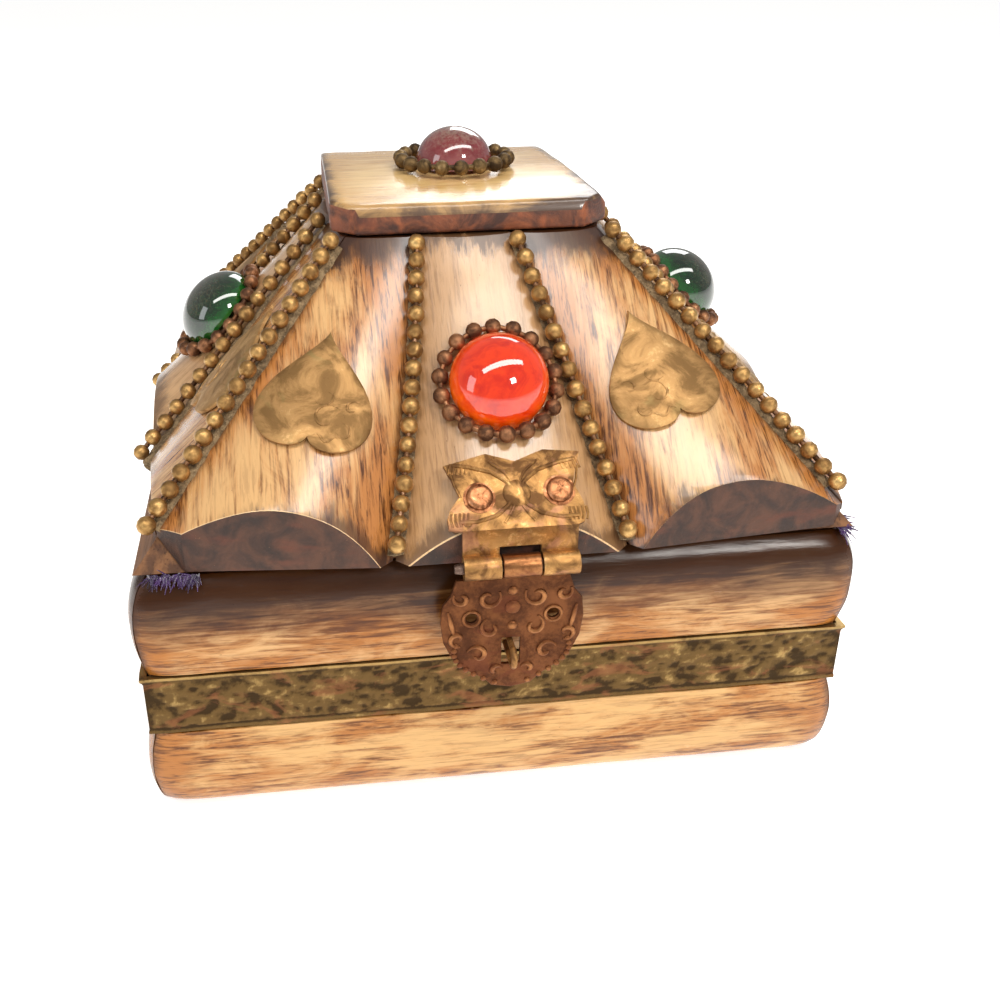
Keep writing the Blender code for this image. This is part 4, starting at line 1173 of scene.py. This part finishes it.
def lining(node, name, body):
    """A glued velvet lining: softened corners and a slightly uneven pile."""
    bm = merged_copy(node)
    soften(bm, creased(bm, 40), 0.3 * MM, 2)
    low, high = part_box(node)
    for axis, places in ((0, 24), (1, 24), (2, 10)):
        for i in range(1, places):
            normal = Vector((0, 0, 0))
            normal[axis] = 1
            bmesh.ops.bisect_plane(
                bm, geom=bm.verts[:] + bm.edges[:] + bm.faces[:], plane_co=low.lerp(high, i / places),
                plane_no=normal, dist=1e-6,
            )
    bmesh.ops.triangulate(bm, faces=[item for item in bm.faces if len(item.verts) > 4])
    bm.normal_update()
    for vert in bm.verts:
        vert.co += vert.normal * worn(vert.co, 5, 0.1)
    piece(name, bm, body, (VELVET,), [node], 50)


def fringe(name, start, end, out, count, seed):
    """Frayed velvet pile that shows between lid and base at a corner."""
    chance = random.Random(seed)
    bm = bmesh.new()
    for _ in range(count):
        root = start.lerp(end, chance.random()) + Vector((0, 0, chance.uniform(-0.2, 0.25) * MM))
        lean = out * chance.uniform(0.5, 1.3) + Vector([chance.uniform(-0.7, 0.7) for _ in range(3)])
        length = chance.uniform(0.8, 2.0) * MM
        sag = Vector((0, 0, -chance.uniform(0.1, 0.6)))
        points = [root + lean * length * t + sag * length * t * t for t in (0, 0.35, 0.7, 1)]
        wire(bm, points, lambda t: (0.14 - 0.09 * t) * MM, 4)
    piece(name, bm, "base", (VELVET,), crease=80)


# ------------------------------------------------------------------ stage


def stage():
    bm = bmesh.new()
    below = Matrix.Translation((0, 0, -0.2 * MM))
    bmesh.ops.create_grid(bm, x_segments=1, y_segments=1, size=60, matrix=below)
    mesh = bpy.data.meshes.new("floor")
    bm.to_mesh(mesh)
    bm.free()
    mesh.materials.append(FLOOR.material)
    floor = bpy.data.objects.new("floor", mesh)
    bpy.context.scene.collection.objects.link(floor)


def softbox(name, place, aim, width, height, power, colour=(1, 1, 1)):
    light = bpy.data.lights.new(name, "AREA")
    light.shape, light.size, light.size_y = "RECTANGLE", width, height
    light.energy, light.color = power, colour
    lamp = bpy.data.objects.new(name, light)
    lamp.location = place
    lamp.rotation_euler = (Vector(aim) - Vector(place)).to_track_quat("-Z", "Y").to_euler()
    bpy.context.scene.collection.objects.link(lamp)


def lights():
    world = bpy.data.worlds.new("studio")
    bpy.context.scene.world = world
    world.use_nodes = True
    background = world.node_tree.nodes["Background"]
    background.inputs["Color"].default_value = (1.0, 0.99, 0.975, 1)
    background.inputs["Strength"].default_value = 0.36
    middle = (0, 0, 0.045)
    softbox("overhead", (0.08, -0.3, 0.75), middle, 1.1, 0.13, 4.6, (1, 0.98, 0.94))
    softbox("key", (0.35, -0.7, 0.55), middle, 0.14, 0.14, 2.7, (1, 0.97, 0.92))
    softbox("fill", (-0.85, -0.4, 0.35), middle, 0.3, 0.5, 1.4, (0.96, 0.98, 1))
    softbox("rim", (0.3, 0.8, 0.6), middle, 0.5, 0.4, 3.0)


def camera():
    data = bpy.data.cameras.new("camera")
    data.sensor_width, data.lens = 36.0, 41.5086
    data.shift_x, data.shift_y = 0.0672, -0.0001
    data.clip_start = 0.01
    made = bpy.data.objects.new("camera", data)
    made.location = Vector((-27.963, -200.544, 127.326)) * MM
    turn = Matrix.Identity(3)
    for degrees, axis in ((-6.7543, "Z"), (62.9738, "X"), (-0.5882, "Z")):
        turn = turn @ Matrix.Rotation(math.radians(degrees), 3, axis)
    made.rotation_euler = turn.to_euler()
    bpy.context.scene.collection.objects.link(made)
    bpy.context.scene.camera = made


def main():
    chance = random.Random(11)
    for node in ("base_box", "lid_box"):
        data = NODES[node].data
        data.materials.clear()
        data.materials.append(WOOD.material)
    for number, face in enumerate(FACES):
        for step, kind in enumerate(("left", "centre", "right")):
            bone_slat(face, kind, number * 3 + step + 1)
        bone_rail(face, "upper", UPPER_FACE, UPPER_BONE, number + 1)
        bone_rail(face, "lower", LOWER_FACE, LOWER_BONE, number + 11)
        for kind in ("left", "right"):
            heart(face, kind, number * 2 + (kind == "right"))
        bead_chains(face, chance)
        grout_seams(face, number + 1)
        green = face != "front"
        face_stone(face, GREEN if green else ORANGE, chance)
    cap_plate()
    top = Matrix.Translation((0, 0, PLATE_CROWN + GAP))
    gem("top_stone", TOP_GEM_R, TOP_GEM_HEIGHT, top, RED, "top_gem")

    def round_top(angle, radius):
        return Vector((radius * math.sin(angle), radius * math.cos(angle), PLATE_CROWN + BALL_R + GAP))

    collar("top_collar", round_top, TOP_RING_R, TOP_RING, "top_gem_ring", chance)
    brass_band()
    hasp_top()
    hasp_leaf()
    hasp_rod()
    hasp_loop()
    rear_hinge(-1, "left")
    rear_hinge(1, "right")
    lining("base_lining", "base_velvet", "base")
    lining("lid_lining", "lid_velvet", "lid")
    low = 42.55 * MM
    fringe("left_fray", Vector((-52.0 * MM, -54.0 * MM, low)), Vector((-44.5 * MM, -54.6 * MM, low)),
           Vector((-0.3, -1, 0)), 130, 3)
    fringe("right_fray", Vector((52.5 * MM, -54.0 * MM, low)), Vector((53.2 * MM, -50.0 * MM, low)),
           Vector((0.7, -0.5, 0)), 110, 4)
    stage()
    lights()
    camera()
    bpy.context.scene.view_settings.view_transform = "Standard"


main()
